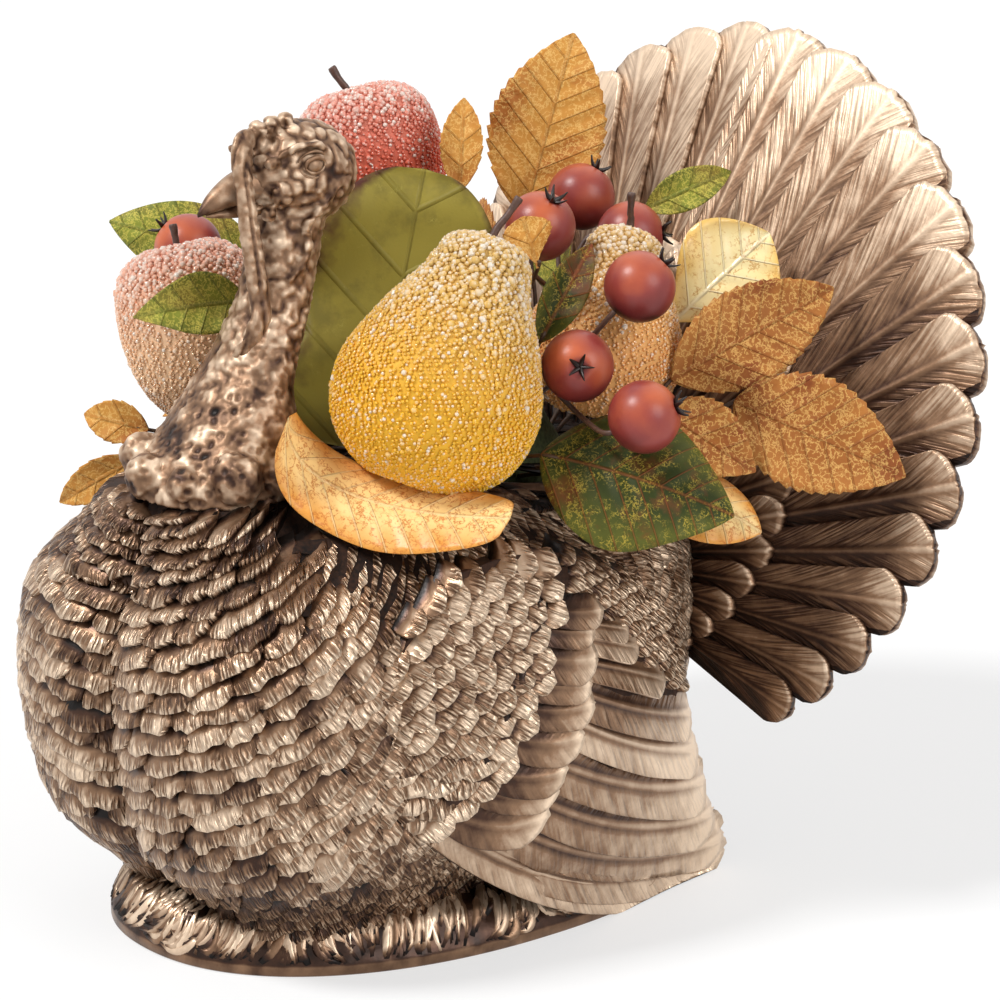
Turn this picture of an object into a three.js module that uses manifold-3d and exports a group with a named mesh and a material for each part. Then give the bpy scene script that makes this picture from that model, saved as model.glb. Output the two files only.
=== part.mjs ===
// Thanksgiving turkey figure: a bronze-finished cast-resin turkey whose open back holds
// sugared fruit, leaves and berries. Millimetres, +Z up, the turkey faces -Y, its left is +X.
// The origin is the middle of the underside of the base.
import * as THREE from "three";
import { mergeVertices } from "three/addons/utils/BufferGeometryUtils.js";
import Module from "manifold-3d";

const wasm = await Module();
wasm.setup();

const V = (x, y, z) => new THREE.Vector3(x, y, z);
const UP = V(0, 0, 1);

// Fits
const GAP = 0.3; // between touching pieces
const WALL = 9; // resin wall of the body

// Base
const BASE_HALF_WIDTH = 79;
const BASE_HALF_LENGTH = 118;
const BASE_HEIGHT = 16;
const BASE_BAND = 4; // plain band under the grass
const BASE_TAPER = 7; // the top is this much smaller all round

// Body: half width, reach to the front and reach to the rear at six even heights
const BODY_TOP = 150;
const BODY_MIDDLE_Y = -40; // where the body is widest
const BODY_SECTIONS = [
  V(61, 101, 90),
  V(79, 125, 94),
  V(85, 132, 97),
  V(86, 134, 100),
  V(80, 129, 101),
  V(52, 108, 90),
];
const BODY_SIDES = 56;
const BODY_LEVELS = 10;
const BREAST_GROOVE = 12; // depth of the groove between the lobes
const GROOVE_HALF_WIDTH = 14;
const FEATHER_STEP = 2.4; // a row of breast feathers stands out by this over the row below
const FEATHER_TIP = 2.6; // every other corner of a row hangs lower by this
const FEATHER_EDGE = 1; // thickness of a row's lower edge
const ROOF = 12; // resin above the hollow

// Opening in the back and the foam that stands in it
const OPENING_Y = 26;
const OPENING_HALF_WIDTH = 42;
const OPENING_HALF_LENGTH = 50;
const FOAM_CLEARANCE = 0.5;
const FOAM_SHOULDER = 138; // the mound starts here
const FOAM_MOUND = V(27, 38, 44); // half width, half length, height

// Neck and head
const NECK_Y = -83; // middle of the neck seat
const SEAT_TOP = 158;
const SEAT_RADIUS = 30;
const SEAT_FLARE = V(50, 38, 30); // half width, half length and height of the hump below
const NECK_DOWEL_RADIUS = 4;
const NECK_DOWEL_LENGTH = 28;
const HEAD = V(0, -47, 262);
const HEAD_RADII = V(15, 21, 18);

// Tail fan: a shallow cone of feathers round a hub inside the rump
const FAN_HUB = V(0, 71, 106);
const FAN_LEAN = 0.244;
const FAN_SWEEP = 0.25;
const FAN_MEAN_LENGTH = 133;
const FAN_EXTRA_LENGTH = 78; // longer at the top by this, shorter below
const FEATHERS_PER_SIDE = 14;
const FEATHER_PITCH = 0.139;
const FAN_ROOT_RADIUS = 26;
const FAN_BACK = 3;
const FAN_FRONT = 4;
const COVERT_FRONT = 8;
const COVERT_REACH = 0.58;
const TAIL_DOWEL_RADIUS = 3;
const TAIL_DOWEL = V(16, 97, 112); // middle of the left one
const TAIL_DOWEL_LENGTH = 20;

// Wings: a teardrop outline in the Y, Z plane, domed outwards
const WING_MIDDLE = V(0, 6, 78);
const WING_OUTLINE = [
  V(0, -56, 136),
  V(0, -74, 102),
  V(0, -67, 64),
  V(0, -38, 40),
  V(0, 10, 22),
  V(0, 50, 8),
  V(0, 87, 5),
  V(0, 79, 33),
  V(0, 69, 66),
  V(0, 58, 104),
  V(0, 20, 130),
  V(0, -15, 142),
];
const WING_FRONT_X = 84;
const WING_REAR_X = 66;
const WING_DOME = 12;
const WING_EDGE = 6;

// Picks, wires and stems
const PICK_RADIUS = 1.3;
const WIRE_RADIUS = 0.8;
const STEM_RADIUS = 1.7;
const STEM_SEAT = 6; // how deep a stem sits in its fruit
const LEAF_THICKNESS = 1;
const BERRY_RADIUS = 12.3;

const RESIN = "#8a7254";
const STEEL = "#9a9a98";
const WOOD = "#6b4a2c";
const FOAM = "#4f5a34";
const WIRE = "#3a2a1c";

// A closed skin from rings of points: side walls and a fan of triangles at each end.
function loft(rings) {
  const n = rings[0].length;
  const points = rings.flat();
  const index = [];
  for (let i = 0; i + 1 < rings.length; i += 1) {
    for (let j = 0; j < n; j += 1) {
      const a = i * n + j;
      const b = i * n + ((j + 1) % n);
      index.push(a, b, b + n, a, b + n, a + n);
    }
  }
  const last = (rings.length - 1) * n;
  const middle = (ring) => ring.reduce((s, p) => s.add(p), V(0, 0, 0)).divideScalar(n);
  points.push(middle(rings[0]), middle(rings[rings.length - 1]));
  for (let j = 0; j < n; j += 1) {
    const k = (j + 1) % n;
    index.push(points.length - 2, k, j);
    index.push(points.length - 1, last + j, last + k);
  }
  const geometry = new THREE.BufferGeometry().setFromPoints(points);
  geometry.setIndex(index);
  return geometry;
}

// A closed sheet between two grids of points.
function sheet(front, back) {
  const rows = front.length;
  const columns = front[0].length;
  const ringAt = (i) => [...front[i], ...[...back[i]].reverse()];
  const rings = front.map((row, i) => ringAt(i));
  const n = columns * 2;
  const index = [];
  for (let i = 0; i + 1 < rows; i += 1) {
    for (let j = 0; j < n; j += 1) {
      const a = i * n + j;
      const b = i * n + ((j + 1) % n);
      index.push(a, b, b + n, a, b + n, a + n);
    }
  }
  const last = (rows - 1) * n;
  for (let j = 0; j + 1 < columns; j += 1) {
    const far = n - 1 - j;
    index.push(j, far, far - 1, j, far - 1, j + 1);
    index.push(last + j, last + far - 1, last + far, last + j, last + j + 1, last + far - 1);
  }
  const geometry = new THREE.BufferGeometry().setFromPoints(rings.flat());
  geometry.setIndex(index);
  return geometry;
}

// Geometry to solid; slivers with a repeated corner are dropped and the skin is faced outwards.
function solid(geometry) {
  geometry.deleteAttribute("normal");
  geometry.deleteAttribute("uv");
  const merged = mergeVertices(geometry, 1e-4);
  const p = merged.attributes.position.array;
  const source = merged.index.array;
  const kept = [];
  let volume = 0;
  for (let i = 0; i < source.length; i += 3) {
    const [a, b, c] = [source[i], source[i + 1], source[i + 2]];
    if (a !== b && b !== c && a !== c) {
      kept.push(a, b, c);
      const at = (k) => V(p[k * 3], p[k * 3 + 1], p[k * 3 + 2]);
      volume += at(a).dot(at(b).cross(at(c)));
    }
  }
  const facing = volume < 0 ? kept.reverse() : kept;
  return new wasm.Manifold(new wasm.Mesh({
    numProp: 3,
    vertProperties: new Float32Array(p),
    triVerts: new Uint32Array(facing),
  }));
}

function mesh(name, shape, colour, roughness = 0.6, metalness = 0) {
  const data = shape.getMesh();
  const geometry = new THREE.BufferGeometry();
  geometry.setAttribute("position", new THREE.BufferAttribute(new Float32Array(data.vertProperties), 3));
  geometry.setIndex(new THREE.BufferAttribute(new Uint32Array(data.triVerts), 1));
  const flat = geometry.toNonIndexed();
  flat.computeVertexNormals();
  const material = new THREE.MeshStandardMaterial({ color: colour, roughness, metalness });
  const made = new THREE.Mesh(flat, material);
  made.name = name;
  return made;
}

// A round bar along a smooth path through the given points.
function bar(points, radius, sides = 6, steps = 1) {
  const corners = [];
  for (let i = 0; i < sides; i += 1) {
    const a = (i / sides) * Math.PI * 2;
    corners.push(new THREE.Vector2(radius * Math.cos(a), radius * Math.sin(a)));
  }
  const path = points.length > 2 ? new THREE.CatmullRomCurve3(points)
    : new THREE.LineCurve3(points[0], points[1]);
  return solid(new THREE.ExtrudeGeometry(new THREE.Shape(corners), { extrudePath: path, steps }));
}

function oval(halfWidth, halfLength, middleY, bottom, top, sides = 32) {
  const ring = (z) => Array.from({ length: sides }, (_, i) => {
    const a = (i / sides) * Math.PI * 2;
    return V(halfWidth * Math.cos(a), middleY + halfLength * Math.sin(a), z);
  });
  return solid(loft([ring(bottom), ring(top)]));
}

// Body
const BODY_BOTTOM = BASE_HEIGHT + GAP;
const bodyCurve = new THREE.CatmullRomCurve3(BODY_SECTIONS);
const power = (v, n) => Math.sign(v) * Math.abs(v) ** (2 / n);

// One ring of the body; step and hang stand its feathers out and lower their tips, on the breast only.
function bodyRing(z, grow, groove, sides, step = 0, hang = () => 0) {
  const at = THREE.MathUtils.clamp((z - BODY_BOTTOM) / (BODY_TOP - BODY_BOTTOM), 0, 1);
  const size = bodyCurve.getPoint(at);
  return Array.from({ length: sides }, (_, i) => {
    const a = (i / sides) * Math.PI * 2;
    const front = Math.cos(a) > 0;
    const n = front ? 3.1 : 2.6;
    const reach = front ? size.y + BODY_MIDDLE_Y : size.z - BODY_MIDDLE_Y;
    const breast = THREE.MathUtils.smoothstep(Math.cos(a), 0.25, 0.6);
    const out = grow + step * breast;
    const x = (size.x + out) * power(Math.sin(a), n);
    const y = BODY_MIDDLE_Y - (reach + out) * power(Math.cos(a), n);
    const dip = front ? groove * Math.exp(-Math.abs(x / GROOVE_HALF_WIDTH)) : 0;
    return V(x, y + dip, z - hang(i) * breast);
  });
}

const levelShare = (i, levels) => Math.sin((i / levels) * Math.PI * 0.5) ** 1.25;
function plainRings(grow, bottom, top, sides, levels) {
  const at = (i) => bottom + (top - bottom) * levelShare(i, levels);
  return Array.from({ length: levels + 1 }, (_, i) => bodyRing(at(i), grow, 0, sides));
}

// Rings of the outside: at each level the row below ends and the next one starts, a step further out
function featheredRings(grow) {
  const rings = [bodyRing(BODY_BOTTOM, grow, BREAST_GROOVE, BODY_SIDES)];
  for (let i = 1; i < BODY_LEVELS; i += 1) {
    const z = BODY_BOTTOM + (BODY_TOP - BODY_BOTTOM) * levelShare(i, BODY_LEVELS);
    const hang = (side) => ((side + i) % 2) * FEATHER_TIP;
    rings.push(bodyRing(z - FEATHER_EDGE, grow, BREAST_GROOVE, BODY_SIDES, 0, hang));
    rings.push(bodyRing(z, grow, BREAST_GROOVE, BODY_SIDES, FEATHER_STEP, hang));
  }
  rings.push(bodyRing(BODY_TOP, grow, BREAST_GROOVE, BODY_SIDES));
  return rings;
}

function seatHump(grow) {
  const ring = (rx, ry, z) => Array.from({ length: 28 }, (_, i) => {
    const a = (i / 28) * Math.PI * 2;
    const x = (rx + grow) * Math.cos(a);
    const dip = Math.sin(a) < 0 ? BREAST_GROOVE * 0.6 * Math.exp(-Math.abs(x / GROOVE_HALF_WIDTH)) : 0;
    return V(x, NECK_Y + (ry + grow) * Math.sin(a) + dip, z);
  });
  const foot = SEAT_TOP - SEAT_FLARE.z;
  const rings = [];
  for (const share of [0, 0.35, 0.65, 0.88]) {
    const ease = share ** 2.2;
    const rx = THREE.MathUtils.lerp(SEAT_FLARE.x, SEAT_RADIUS, ease);
    const ry = THREE.MathUtils.lerp(SEAT_FLARE.y, SEAT_RADIUS, ease);
    rings.push(ring(rx, ry, foot + SEAT_FLARE.z * share));
  }
  rings.push(ring(SEAT_RADIUS, SEAT_RADIUS, SEAT_TOP + grow));
  return solid(loft(rings));
}

const neckDowelMiddle = V(0, NECK_Y, SEAT_TOP);
const neckDowelEnds = (grow) => [
  neckDowelMiddle.clone().addScaledVector(UP, -NECK_DOWEL_LENGTH / 2 - grow),
  neckDowelMiddle.clone().addScaledVector(UP, NECK_DOWEL_LENGTH / 2 + grow),
];
const neckDowel = bar(neckDowelEnds(0), NECK_DOWEL_RADIUS, 16);
const neckDowelHole = bar(neckDowelEnds(GAP), NECK_DOWEL_RADIUS + GAP, 16);

const tailDowelEnds = (side, grow) => [
  V(side * TAIL_DOWEL.x, TAIL_DOWEL.y - TAIL_DOWEL_LENGTH / 2 - grow, TAIL_DOWEL.z),
  V(side * TAIL_DOWEL.x, TAIL_DOWEL.y + TAIL_DOWEL_LENGTH / 2 + grow, TAIL_DOWEL.z),
];
const tailDowel = (side) => bar(tailDowelEnds(side, 0), TAIL_DOWEL_RADIUS, 12);
const tailDowelHole = (side) => bar(tailDowelEnds(side, GAP), TAIL_DOWEL_RADIUS + GAP, 12);

const bodyOuter = solid(loft(featheredRings(0))).add(seatHump(0));
const spaceRings = featheredRings(GAP);
spaceRings.unshift(bodyRing(0, GAP, BREAST_GROOVE, BODY_SIDES));
spaceRings.push(bodyRing(BODY_TOP, GAP, BREAST_GROOVE, BODY_SIDES).map((p) => p.addScaledVector(UP, GAP)));
const bodySpace = solid(loft(spaceRings)).add(seatHump(GAP));
const hollow = solid(loft(plainRings(-WALL, BODY_BOTTOM - 1, BODY_TOP - ROOF, 28, 7)));
const opening = oval(
  OPENING_HALF_WIDTH,
  OPENING_HALF_LENGTH,
  OPENING_Y,
  BODY_TOP - 2 * ROOF,
  BODY_TOP + ROOF,
);
const body = bodyOuter
  .subtract(hollow)
  .subtract(opening)
  .subtract(neckDowelHole)
  .subtract(tailDowelHole(1))
  .subtract(tailDowelHole(-1));

// Base
function baseRing(inset, z) {
  return Array.from({ length: 40 }, (_, i) => {
    const a = (i / 40) * Math.PI * 2;
    const x = (BASE_HALF_WIDTH - inset) * power(Math.cos(a), 2.2);
    const y = (BASE_HALF_LENGTH - inset) * power(Math.sin(a), 2.2);
    return V(x, y, z);
  });
}
const base = solid(loft([
  baseRing(1, 0),
  baseRing(0, BASE_BAND),
  baseRing(BASE_TAPER / 4, BASE_HEIGHT * 0.7),
  baseRing(BASE_TAPER, BASE_HEIGHT),
]));

// Wing: rings from the rim to the crown of the dome, and a flat inner face under the rim
const wingOutline = new THREE.CatmullRomCurve3(WING_OUTLINE, true);
function wing(side) {
  const rim = wingOutline.getSpacedPoints(36).slice(0, 36);
  const rearward = (y) => THREE.MathUtils.smoothstep(y, -20, 90);
  const edgeX = (y) => THREE.MathUtils.lerp(WING_FRONT_X, WING_REAR_X, rearward(y));
  const ring = (share, lift) => rim.map((p) => {
    const q = WING_MIDDLE.clone().lerp(p, share);
    return V(side * (edgeX(q.y) + lift), q.y, q.z);
  });
  const dome = (share) => WING_DOME * (1 - share ** 2) ** 0.7;
  const rings = [ring(0.02, -WING_EDGE), ring(1, -WING_EDGE), ring(1, 0)];
  for (const share of [0.86, 0.6, 0.3, 0.02]) {
    rings.push(ring(share, dome(share)));
  }
  return solid(loft(rings)).subtract(bodySpace).subtract(solid(loft([
    baseRing(-GAP, -1),
    baseRing(-GAP, BASE_HEIGHT + GAP),
  ])));
}

// Neck and head
function neckRing(y, z, rx, ry, tilt) {
  return Array.from({ length: 16 }, (_, i) => {
    const a = (i / 16) * Math.PI * 2;
    const along = ry * Math.sin(a);
    return V(rx * Math.cos(a), y + along * Math.cos(tilt), z + along * Math.sin(tilt));
  });
}
const neckFoot = SEAT_TOP + GAP;
const neck = solid(loft([
  neckRing(NECK_Y, neckFoot, 29, 29, 0),
  neckRing(-82, neckFoot + 12, 28, 27, 0.1),
  neckRing(-77, neckFoot + 29, 22, 22, 0.35),
  neckRing(-66, neckFoot + 48, 17.5, 18, 0.4),
  neckRing(-58, neckFoot + 66, 14, 15, 0.3),
  neckRing(-54, neckFoot + 82, 13.5, 14.5, 0.2),
  neckRing(-50, neckFoot + 96, 12, 13, 0.2),
]));
const skull = solid(new THREE.SphereGeometry(1, 16, 10)
  .scale(HEAD_RADII.x, HEAD_RADII.y, HEAD_RADII.z)
  .translate(HEAD.x, HEAD.y, HEAD.z));
function beakRing(y, z, rx, rz) {
  return Array.from({ length: 12 }, (_, i) => {
    const a = (i / 12) * Math.PI * 2;
    return V(rx * Math.cos(a), y, z + rz * Math.sin(a));
  });
}
const beak = solid(loft([
  beakRing(-56, 259, 8, 9),
  beakRing(-68, 259, 6.5, 7.5),
  beakRing(-78, 258, 4.5, 5.5),
  beakRing(-85, 255.5, 2.6, 3.6),
  beakRing(-88.5, 252, 0.8, 1.4),
]));
const snoodPath = [
  V(0, -63, 272),
  V(4, -73, 267),
  V(7, -74, 252),
  V(10, -71, 236),
  V(15.5, -72, 214),
  V(20, -78, 194),
];
const snood = bar(snoodPath, 3.6, 8, 12);
const headAndNeck = neck.add(skull).add(beak).add(snood).subtract(neckDowelHole);

// Tail fan
const fanUp = V(0, Math.sin(FAN_LEAN), Math.cos(FAN_LEAN));
const fanBack = V(0, Math.cos(FAN_LEAN), -Math.sin(FAN_LEAN));
function fanDirection(angle) {
  return V(Math.sin(angle), 0, 0)
    .addScaledVector(fanUp, Math.cos(angle))
    .multiplyScalar(Math.cos(FAN_SWEEP))
    .addScaledVector(fanBack, Math.sin(FAN_SWEEP));
}
function fanNormal(angle) {
  return V(Math.sin(angle), 0, 0)
    .addScaledVector(fanUp, Math.cos(angle))
    .multiplyScalar(Math.sin(FAN_SWEEP))
    .addScaledVector(fanBack, -Math.cos(FAN_SWEEP));
}
const featherLength = (angle) => FAN_MEAN_LENGTH + FAN_EXTRA_LENGTH * Math.cos(angle);
function fanPoint(angle, radius, lift) {
  return FAN_HUB.clone()
    .addScaledVector(fanDirection(angle), radius)
    .addScaledVector(fanNormal(angle), lift);
}
function tailFan() {
  const front = [];
  const back = [];
  for (let i = -FEATHERS_PER_SIDE; i < FEATHERS_PER_SIDE; i += 1) {
    for (const share of [0.06, 0.5, 0.94]) {
      const angle = (i + share) * FEATHER_PITCH;
      const outward = i < 0 ? share : 1 - share;
      const round = 1 - 0.18 * (share - 0.5) ** 2;
      const reach = featherLength((i + 0.5) * FEATHER_PITCH) * round;
      const step = (outward - 0.5) * 2.4;
      const row = [];
      const under = [];
      const profile = [
        [FAN_ROOT_RADIUS, COVERT_FRONT],
        [COVERT_REACH * reach, COVERT_FRONT],
        [(COVERT_REACH + 0.03) * reach, FAN_FRONT],
        [reach, 1],
      ];
      for (const [radius, lift] of profile) {
        row.push(fanPoint(angle, radius, lift + step));
        under.push(fanPoint(angle, radius, step - FAN_BACK));
      }
      front.push(row);
      back.push(under);
    }
  }
  const root = solid(new THREE.SphereGeometry(1, 14, 8).scale(40, 15, 36).translate(0, 98, 112));
  return solid(sheet(front, back))
    .add(root)
    .subtract(bodySpace)
    .subtract(tailDowelHole(1))
    .subtract(tailDowelHole(-1));
}

// Fruit: turned profiles, from the eye at the bottom to the stem at the top
function fruit(profile, width, height, middle, axis) {
  const points = new THREE.SplineCurve(profile).getPoints(9).map((p) => new THREE.Vector2(
    Math.max(p.x, 0) * width * 0.5,
    p.y * height,
  ));
  points[0].x = 0;
  points[points.length - 1].x = 0;
  const turn = new THREE.Quaternion().setFromUnitVectors(V(0, 1, 0), axis.clone().normalize());
  return solid(new THREE.LatheGeometry(points, 16)
    .applyQuaternion(turn)
    .translate(middle.x, middle.y, middle.z));
}
const P2 = (x, y) => new THREE.Vector2(x, y);
const PEAR = [
  P2(0, -0.36),
  P2(0.45, -0.36),
  P2(0.88, -0.22),
  P2(1, 0),
  P2(0.8, 0.23),
  P2(0.52, 0.42),
  P2(0.36, 0.57),
  P2(0, 0.61),
];
const PEAR_TOP = 0.61;
const APPLE = [
  P2(0, -0.38),
  P2(0.42, -0.46),
  P2(0.84, -0.26),
  P2(1, 0.06),
  P2(0.86, 0.37),
  P2(0.42, 0.5),
  P2(0, 0.4),
];
const APPLE_TOP = 0.4;

const fruits = [
  {
    name: "pear_yellow", profile: PEAR, top: PEAR_TOP, width: 71, height: 89, colour: "#d9a520",
    middle: V(47, -25, 192), axis: V(0.01, 0.42, 0.91), stem: V(3, 9, 13), pick: V(6, 4, 158),
  },
  {
    name: "pear_orange", profile: PEAR, top: PEAR_TOP, width: 56, height: 68, colour: "#d98a3a",
    middle: V(37, 56, 194), axis: V(-0.07, 0.33, 0.94), stem: V(1, 0, 13), pick: V(6, 30, 156),
  },
  {
    name: "apple_red", profile: APPLE, top: APPLE_TOP, width: 52, height: 54, colour: "#b8343a",
    middle: V(-50, 21, 249), axis: V(-0.35, -0.04, 0.94), stem: V(-8, -6, 14), pick: V(-6, 19, 165),
  },
  {
    name: "apple_pink", profile: APPLE, top: APPLE_TOP, width: 52, height: 62, colour: "#c2504a",
    middle: V(-51, -56, 198), axis: V(-0.3, -0.05, 0.95), stem: V(-4, 0, 14), pick: V(-7, 2, 156),
  },
  {
    name: "apple_back", profile: APPLE, top: APPLE_TOP, width: 60, height: 60, colour: "#c8563c",
    middle: V(-56, 60, 186), axis: V(-0.5, 0.3, 0.81), stem: V(-6, 3, 12), pick: V(-6, 32, 154),
  },
];

// Berries, and the wire sprays that carry them: a stem from the foam, then a branch to each berry
const berries = [
  { name: "berry_1", middle: V(26, 36, 237), eye: V(0.5, 0.1, 0.86) },
  { name: "berry_2", middle: V(-14, 88, 235), eye: V(0.2, 0.5, 0.84) },
  { name: "berry_3", middle: V(17, 85, 226), eye: V(0.66, 0.74, 0.1) },
  { name: "berry_4", middle: V(73, 41, 223), eye: V(0.35, 0.62, 0.7) },
  { name: "berry_5", middle: V(68, 18, 198), eye: V(0.78, -0.57, 0.2) },
  { name: "berry_6", middle: V(99, 21, 186), eye: V(0.6, 0.5, 0.3) },
  { name: "berry_7", middle: V(-88, -34, 220), eye: V(-0.6, -0.5, 0.6) },
  { name: "berry_8", middle: V(-86, 22, 225), eye: V(-0.8, 0.1, 0.6) },
  { name: "berry_9", middle: V(-99, 38, 209), eye: V(-0.8, 0.4, 0.3) },
];
const sprays = [
  { name: "berry_spray_1", root: V(3, 40, 150), fork: V(6, 62, 205), berries: [0, 1, 2] },
  { name: "berry_spray_2", root: V(8, 10, 152), fork: V(46, 24, 186), berries: [3, 4, 5] },
  { name: "berry_spray_3", root: V(-8, 10, 150), fork: V(-56, -10, 194), berries: [6, 7, 8] },
];

// Leaves: the foot and the tip of the blade, its width (and where it is widest, if not a little
// below the middle, and how blunt its ends are), the way it faces, how far the midrib bows towards
// its face, how far the margins rise, and where its wire enters the foam
const VIEW = V(0.75, -0.6, 0.27); // most leaves face the front left quarter
const leaves = [
  {
    name: "leaf_olive", base: V(2, -17, 177), tip: V(-6, 10, 256), width: 68, wide: 0.5, blunt: 0.4,
    face: VIEW, bow: -6, cup: 7, root: V(0, 6, 158), colour: "#5d5f28",
  },
  {
    name: "leaf_tall", base: V(-43, 85, 224), tip: V(-46, 111, 289), width: 43, face: VIEW,
    bow: 4, cup: 4, root: V(-7, 44, 148), via: V(-22, 73, 188), colour: "#c98a34",
  },
  {
    name: "leaf_slim", base: V(-9, 28, 245), tip: V(-19, 38, 276), width: 15, face: VIEW,
    bow: 3, cup: 4, root: V(0, 25, 164), colour: "#b9682c",
  },
  {
    name: "leaf_left_high", base: V(-91, -1, 210), tip: V(-126, -43, 225), width: 30, face: VIEW,
    bow: 4, cup: -3, root: V(-10, 22, 158), colour: "#8c8a3c",
  },
  {
    name: "leaf_left_low", base: V(-29, -50, 213), tip: V(-30, -94, 214), width: 22, face: V(0.85, 0.1, 0.4),
    bow: 3, cup: 3, root: V(-4, -4, 158), colour: "#7d8236",
  },
  {
    name: "leaf_left_rust", base: V(-48, -79, 168), tip: V(-68, -93, 172), width: 15, face: VIEW,
    bow: 2, cup: 2, root: V(-12, -2, 150), colour: "#c2763a",
  },
  {
    name: "leaf_left_droop", base: V(-47, -84, 159), tip: V(-70, -103, 141), width: 14, face: VIEW,
    bow: 3, cup: 2, root: V(-17, 4, 153), colour: "#b5672f",
  },
  {
    name: "leaf_cream", base: V(31, -75, 188), tip: V(90, -27, 161), width: 37, blunt: 0.5,
    face: V(0.25, 0, 0.95), bow: -19, cup: -3, root: V(8, 2, 152), via: V(22, -41, 164), colour: "#d9b56c",
  },
  {
    name: "leaf_big", base: V(68, 2, 170), tip: V(121, 42, 153), width: 52, face: V(0.55, -0.5, 0.67),
    bow: 5, cup: -4, root: V(14, 16, 148), colour: "#47502a",
  },
  {
    name: "leaf_blunt", base: V(72, 36, 157), tip: V(111, 64, 141), width: 30, wide: 0.6,
    face: V(0.5, -0.3, 0.8), bow: 4, cup: -3, root: V(16, 26, 146), colour: "#d6a765",
  },
  {
    name: "leaf_gold", base: V(36, 88, 197), tip: V(52, 120, 228), width: 40, wide: 0.6, face: VIEW,
    bow: 4, cup: 4, root: V(4, 50, 146), via: V(12, 78, 174), colour: "#d8b45c",
  },
  {
    name: "leaf_pale", base: V(3, 104, 231), tip: V(17, 134, 244), width: 15, face: VIEW,
    bow: 4, cup: 2, root: V(-1, 53, 144), via: V(0, 84, 185), colour: "#9a9a58",
  },
  {
    name: "leaf_rust_1", base: V(66, 62, 186), tip: V(88, 118, 215), width: 34, face: VIEW,
    bow: 4, cup: 3, root: V(14, 34, 146), via: V(53, 40, 159), colour: "#a8622a",
  },
  {
    name: "leaf_rust_2", base: V(74, 50, 179), tip: V(103, 68, 160), width: 26, face: VIEW,
    bow: 3, cup: 2, root: V(16, 22, 150), via: V(56, 36, 160), colour: "#b56f33",
  },
  {
    name: "leaf_rust_3", base: V(84, 75, 180), tip: V(134, 109, 158), width: 40, face: VIEW,
    bow: 4, cup: 3, root: V(12, 42, 144), via: V(62, 56, 160), colour: "#c28442",
  },
  {
    name: "leaf_dark", base: V(50, 16, 203), tip: V(48, 41, 234), width: 15, face: VIEW,
    bow: 3, cup: 4, root: V(6, 26, 158), colour: "#3c4526",
  },
  {
    name: "leaf_fan", base: V(43, 21, 227), tip: V(36, 20, 244), width: 17, wide: 0.7, face: VIEW,
    bow: 1, cup: 2, root: V(5, 16, 160), via: V(24, 24, 200), colour: "#c98136",
  },
  {
    name: "leaf_back_1", base: V(-64, 16, 184), tip: V(-116, 4, 172), width: 44, face: V(-0.5, -0.2, 0.84),
    bow: 5, cup: -4, root: V(-14, 16, 146), colour: "#5f6a30",
  },
  {
    name: "leaf_back_2", base: V(-74, 94, 197), tip: V(-112, 110, 208), width: 36, face: V(-0.3, -0.8, 0.5),
    bow: 4, cup: 3, root: V(-10, 52, 142), via: V(-44, 97, 174), colour: "#b56f33",
  },
  {
    name: "leaf_back_3", base: V(-66, -14, 164), tip: V(-118, -24, 152), width: 46, face: V(-0.3, -0.2, 0.93),
    bow: 6, cup: -4, root: V(-15, 10, 142), colour: "#c28442",
  },
  {
    name: "leaf_back_4", base: V(-40, 100, 192), tip: V(-62, 124, 236), width: 34, face: V(-0.2, -0.9, 0.35),
    bow: 4, cup: 3, root: V(-5, 54, 140), colour: "#8c8a3c",
  },
];

function leafFrame(leaf) {
  const axis = leaf.tip.clone().sub(leaf.base);
  const across = leaf.face.clone().cross(axis).normalize();
  const face = axis.clone().cross(across).normalize();
  const midrib = (s) => leaf.base.clone()
    .addScaledVector(axis, s)
    .addScaledVector(face, leaf.bow * 4 * s * (1 - s));
  return { axis, across, face, midrib };
}
function leafBlade(leaf) {
  const { across, face, midrib } = leafFrame(leaf);
  const front = [];
  const back = [];
  for (const s of [0, 0.15, 0.35, 0.55, 0.78, 1]) {
    const lean = Math.log(0.5) / Math.log(leaf.wide ?? 0.44);
    const half = Math.max(0.5 * leaf.width * Math.sin(Math.PI * s ** lean) ** (leaf.blunt ?? 0.8), 0.8);
    const row = [];
    const under = [];
    for (const t of [-1, 0, 1]) {
      const rise = (leaf.cup * t * t * 2 * half) / leaf.width;
      const at = midrib(s).addScaledVector(across, half * t).addScaledVector(face, rise);
      row.push(at.clone().addScaledVector(face, LEAF_THICKNESS / 2));
      under.push(at.addScaledVector(face, -LEAF_THICKNESS / 2));
    }
    front.push(row);
    back.push(under);
  }
  return solid(sheet(front, back));
}
function leafWire(leaf, grow) {
  const { axis, midrib } = leafFrame(leaf);
  const way = axis.clone().normalize();
  const bend = leaf.via ?? leaf.base.clone().lerp(leaf.root, 0.5).addScaledVector(way, -4);
  const root = leaf.root.clone();
  root.addScaledVector(root.clone().sub(bend).normalize(), grow);
  return bar([midrib(0.12), midrib(0), bend, root], WIRE_RADIUS + grow, 4, 5);
}

const figure = new THREE.Group();
figure.name = "figure";
figure.add(
  mesh("base", base, RESIN),
  mesh("body", body, RESIN),
  mesh("left_wing", wing(1), RESIN),
  mesh("right_wing", wing(-1), RESIN),
  mesh("head_and_neck", headAndNeck, RESIN),
  mesh("tail_fan", tailFan(), RESIN),
  mesh("neck_dowel", neckDowel, STEEL, 0.4, 1),
  mesh("tail_dowel_left", tailDowel(1), STEEL, 0.4, 1),
  mesh("tail_dowel_right", tailDowel(-1), STEEL, 0.4, 1),
);

const arrangement = new THREE.Group();
arrangement.name = "arrangement";

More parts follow.
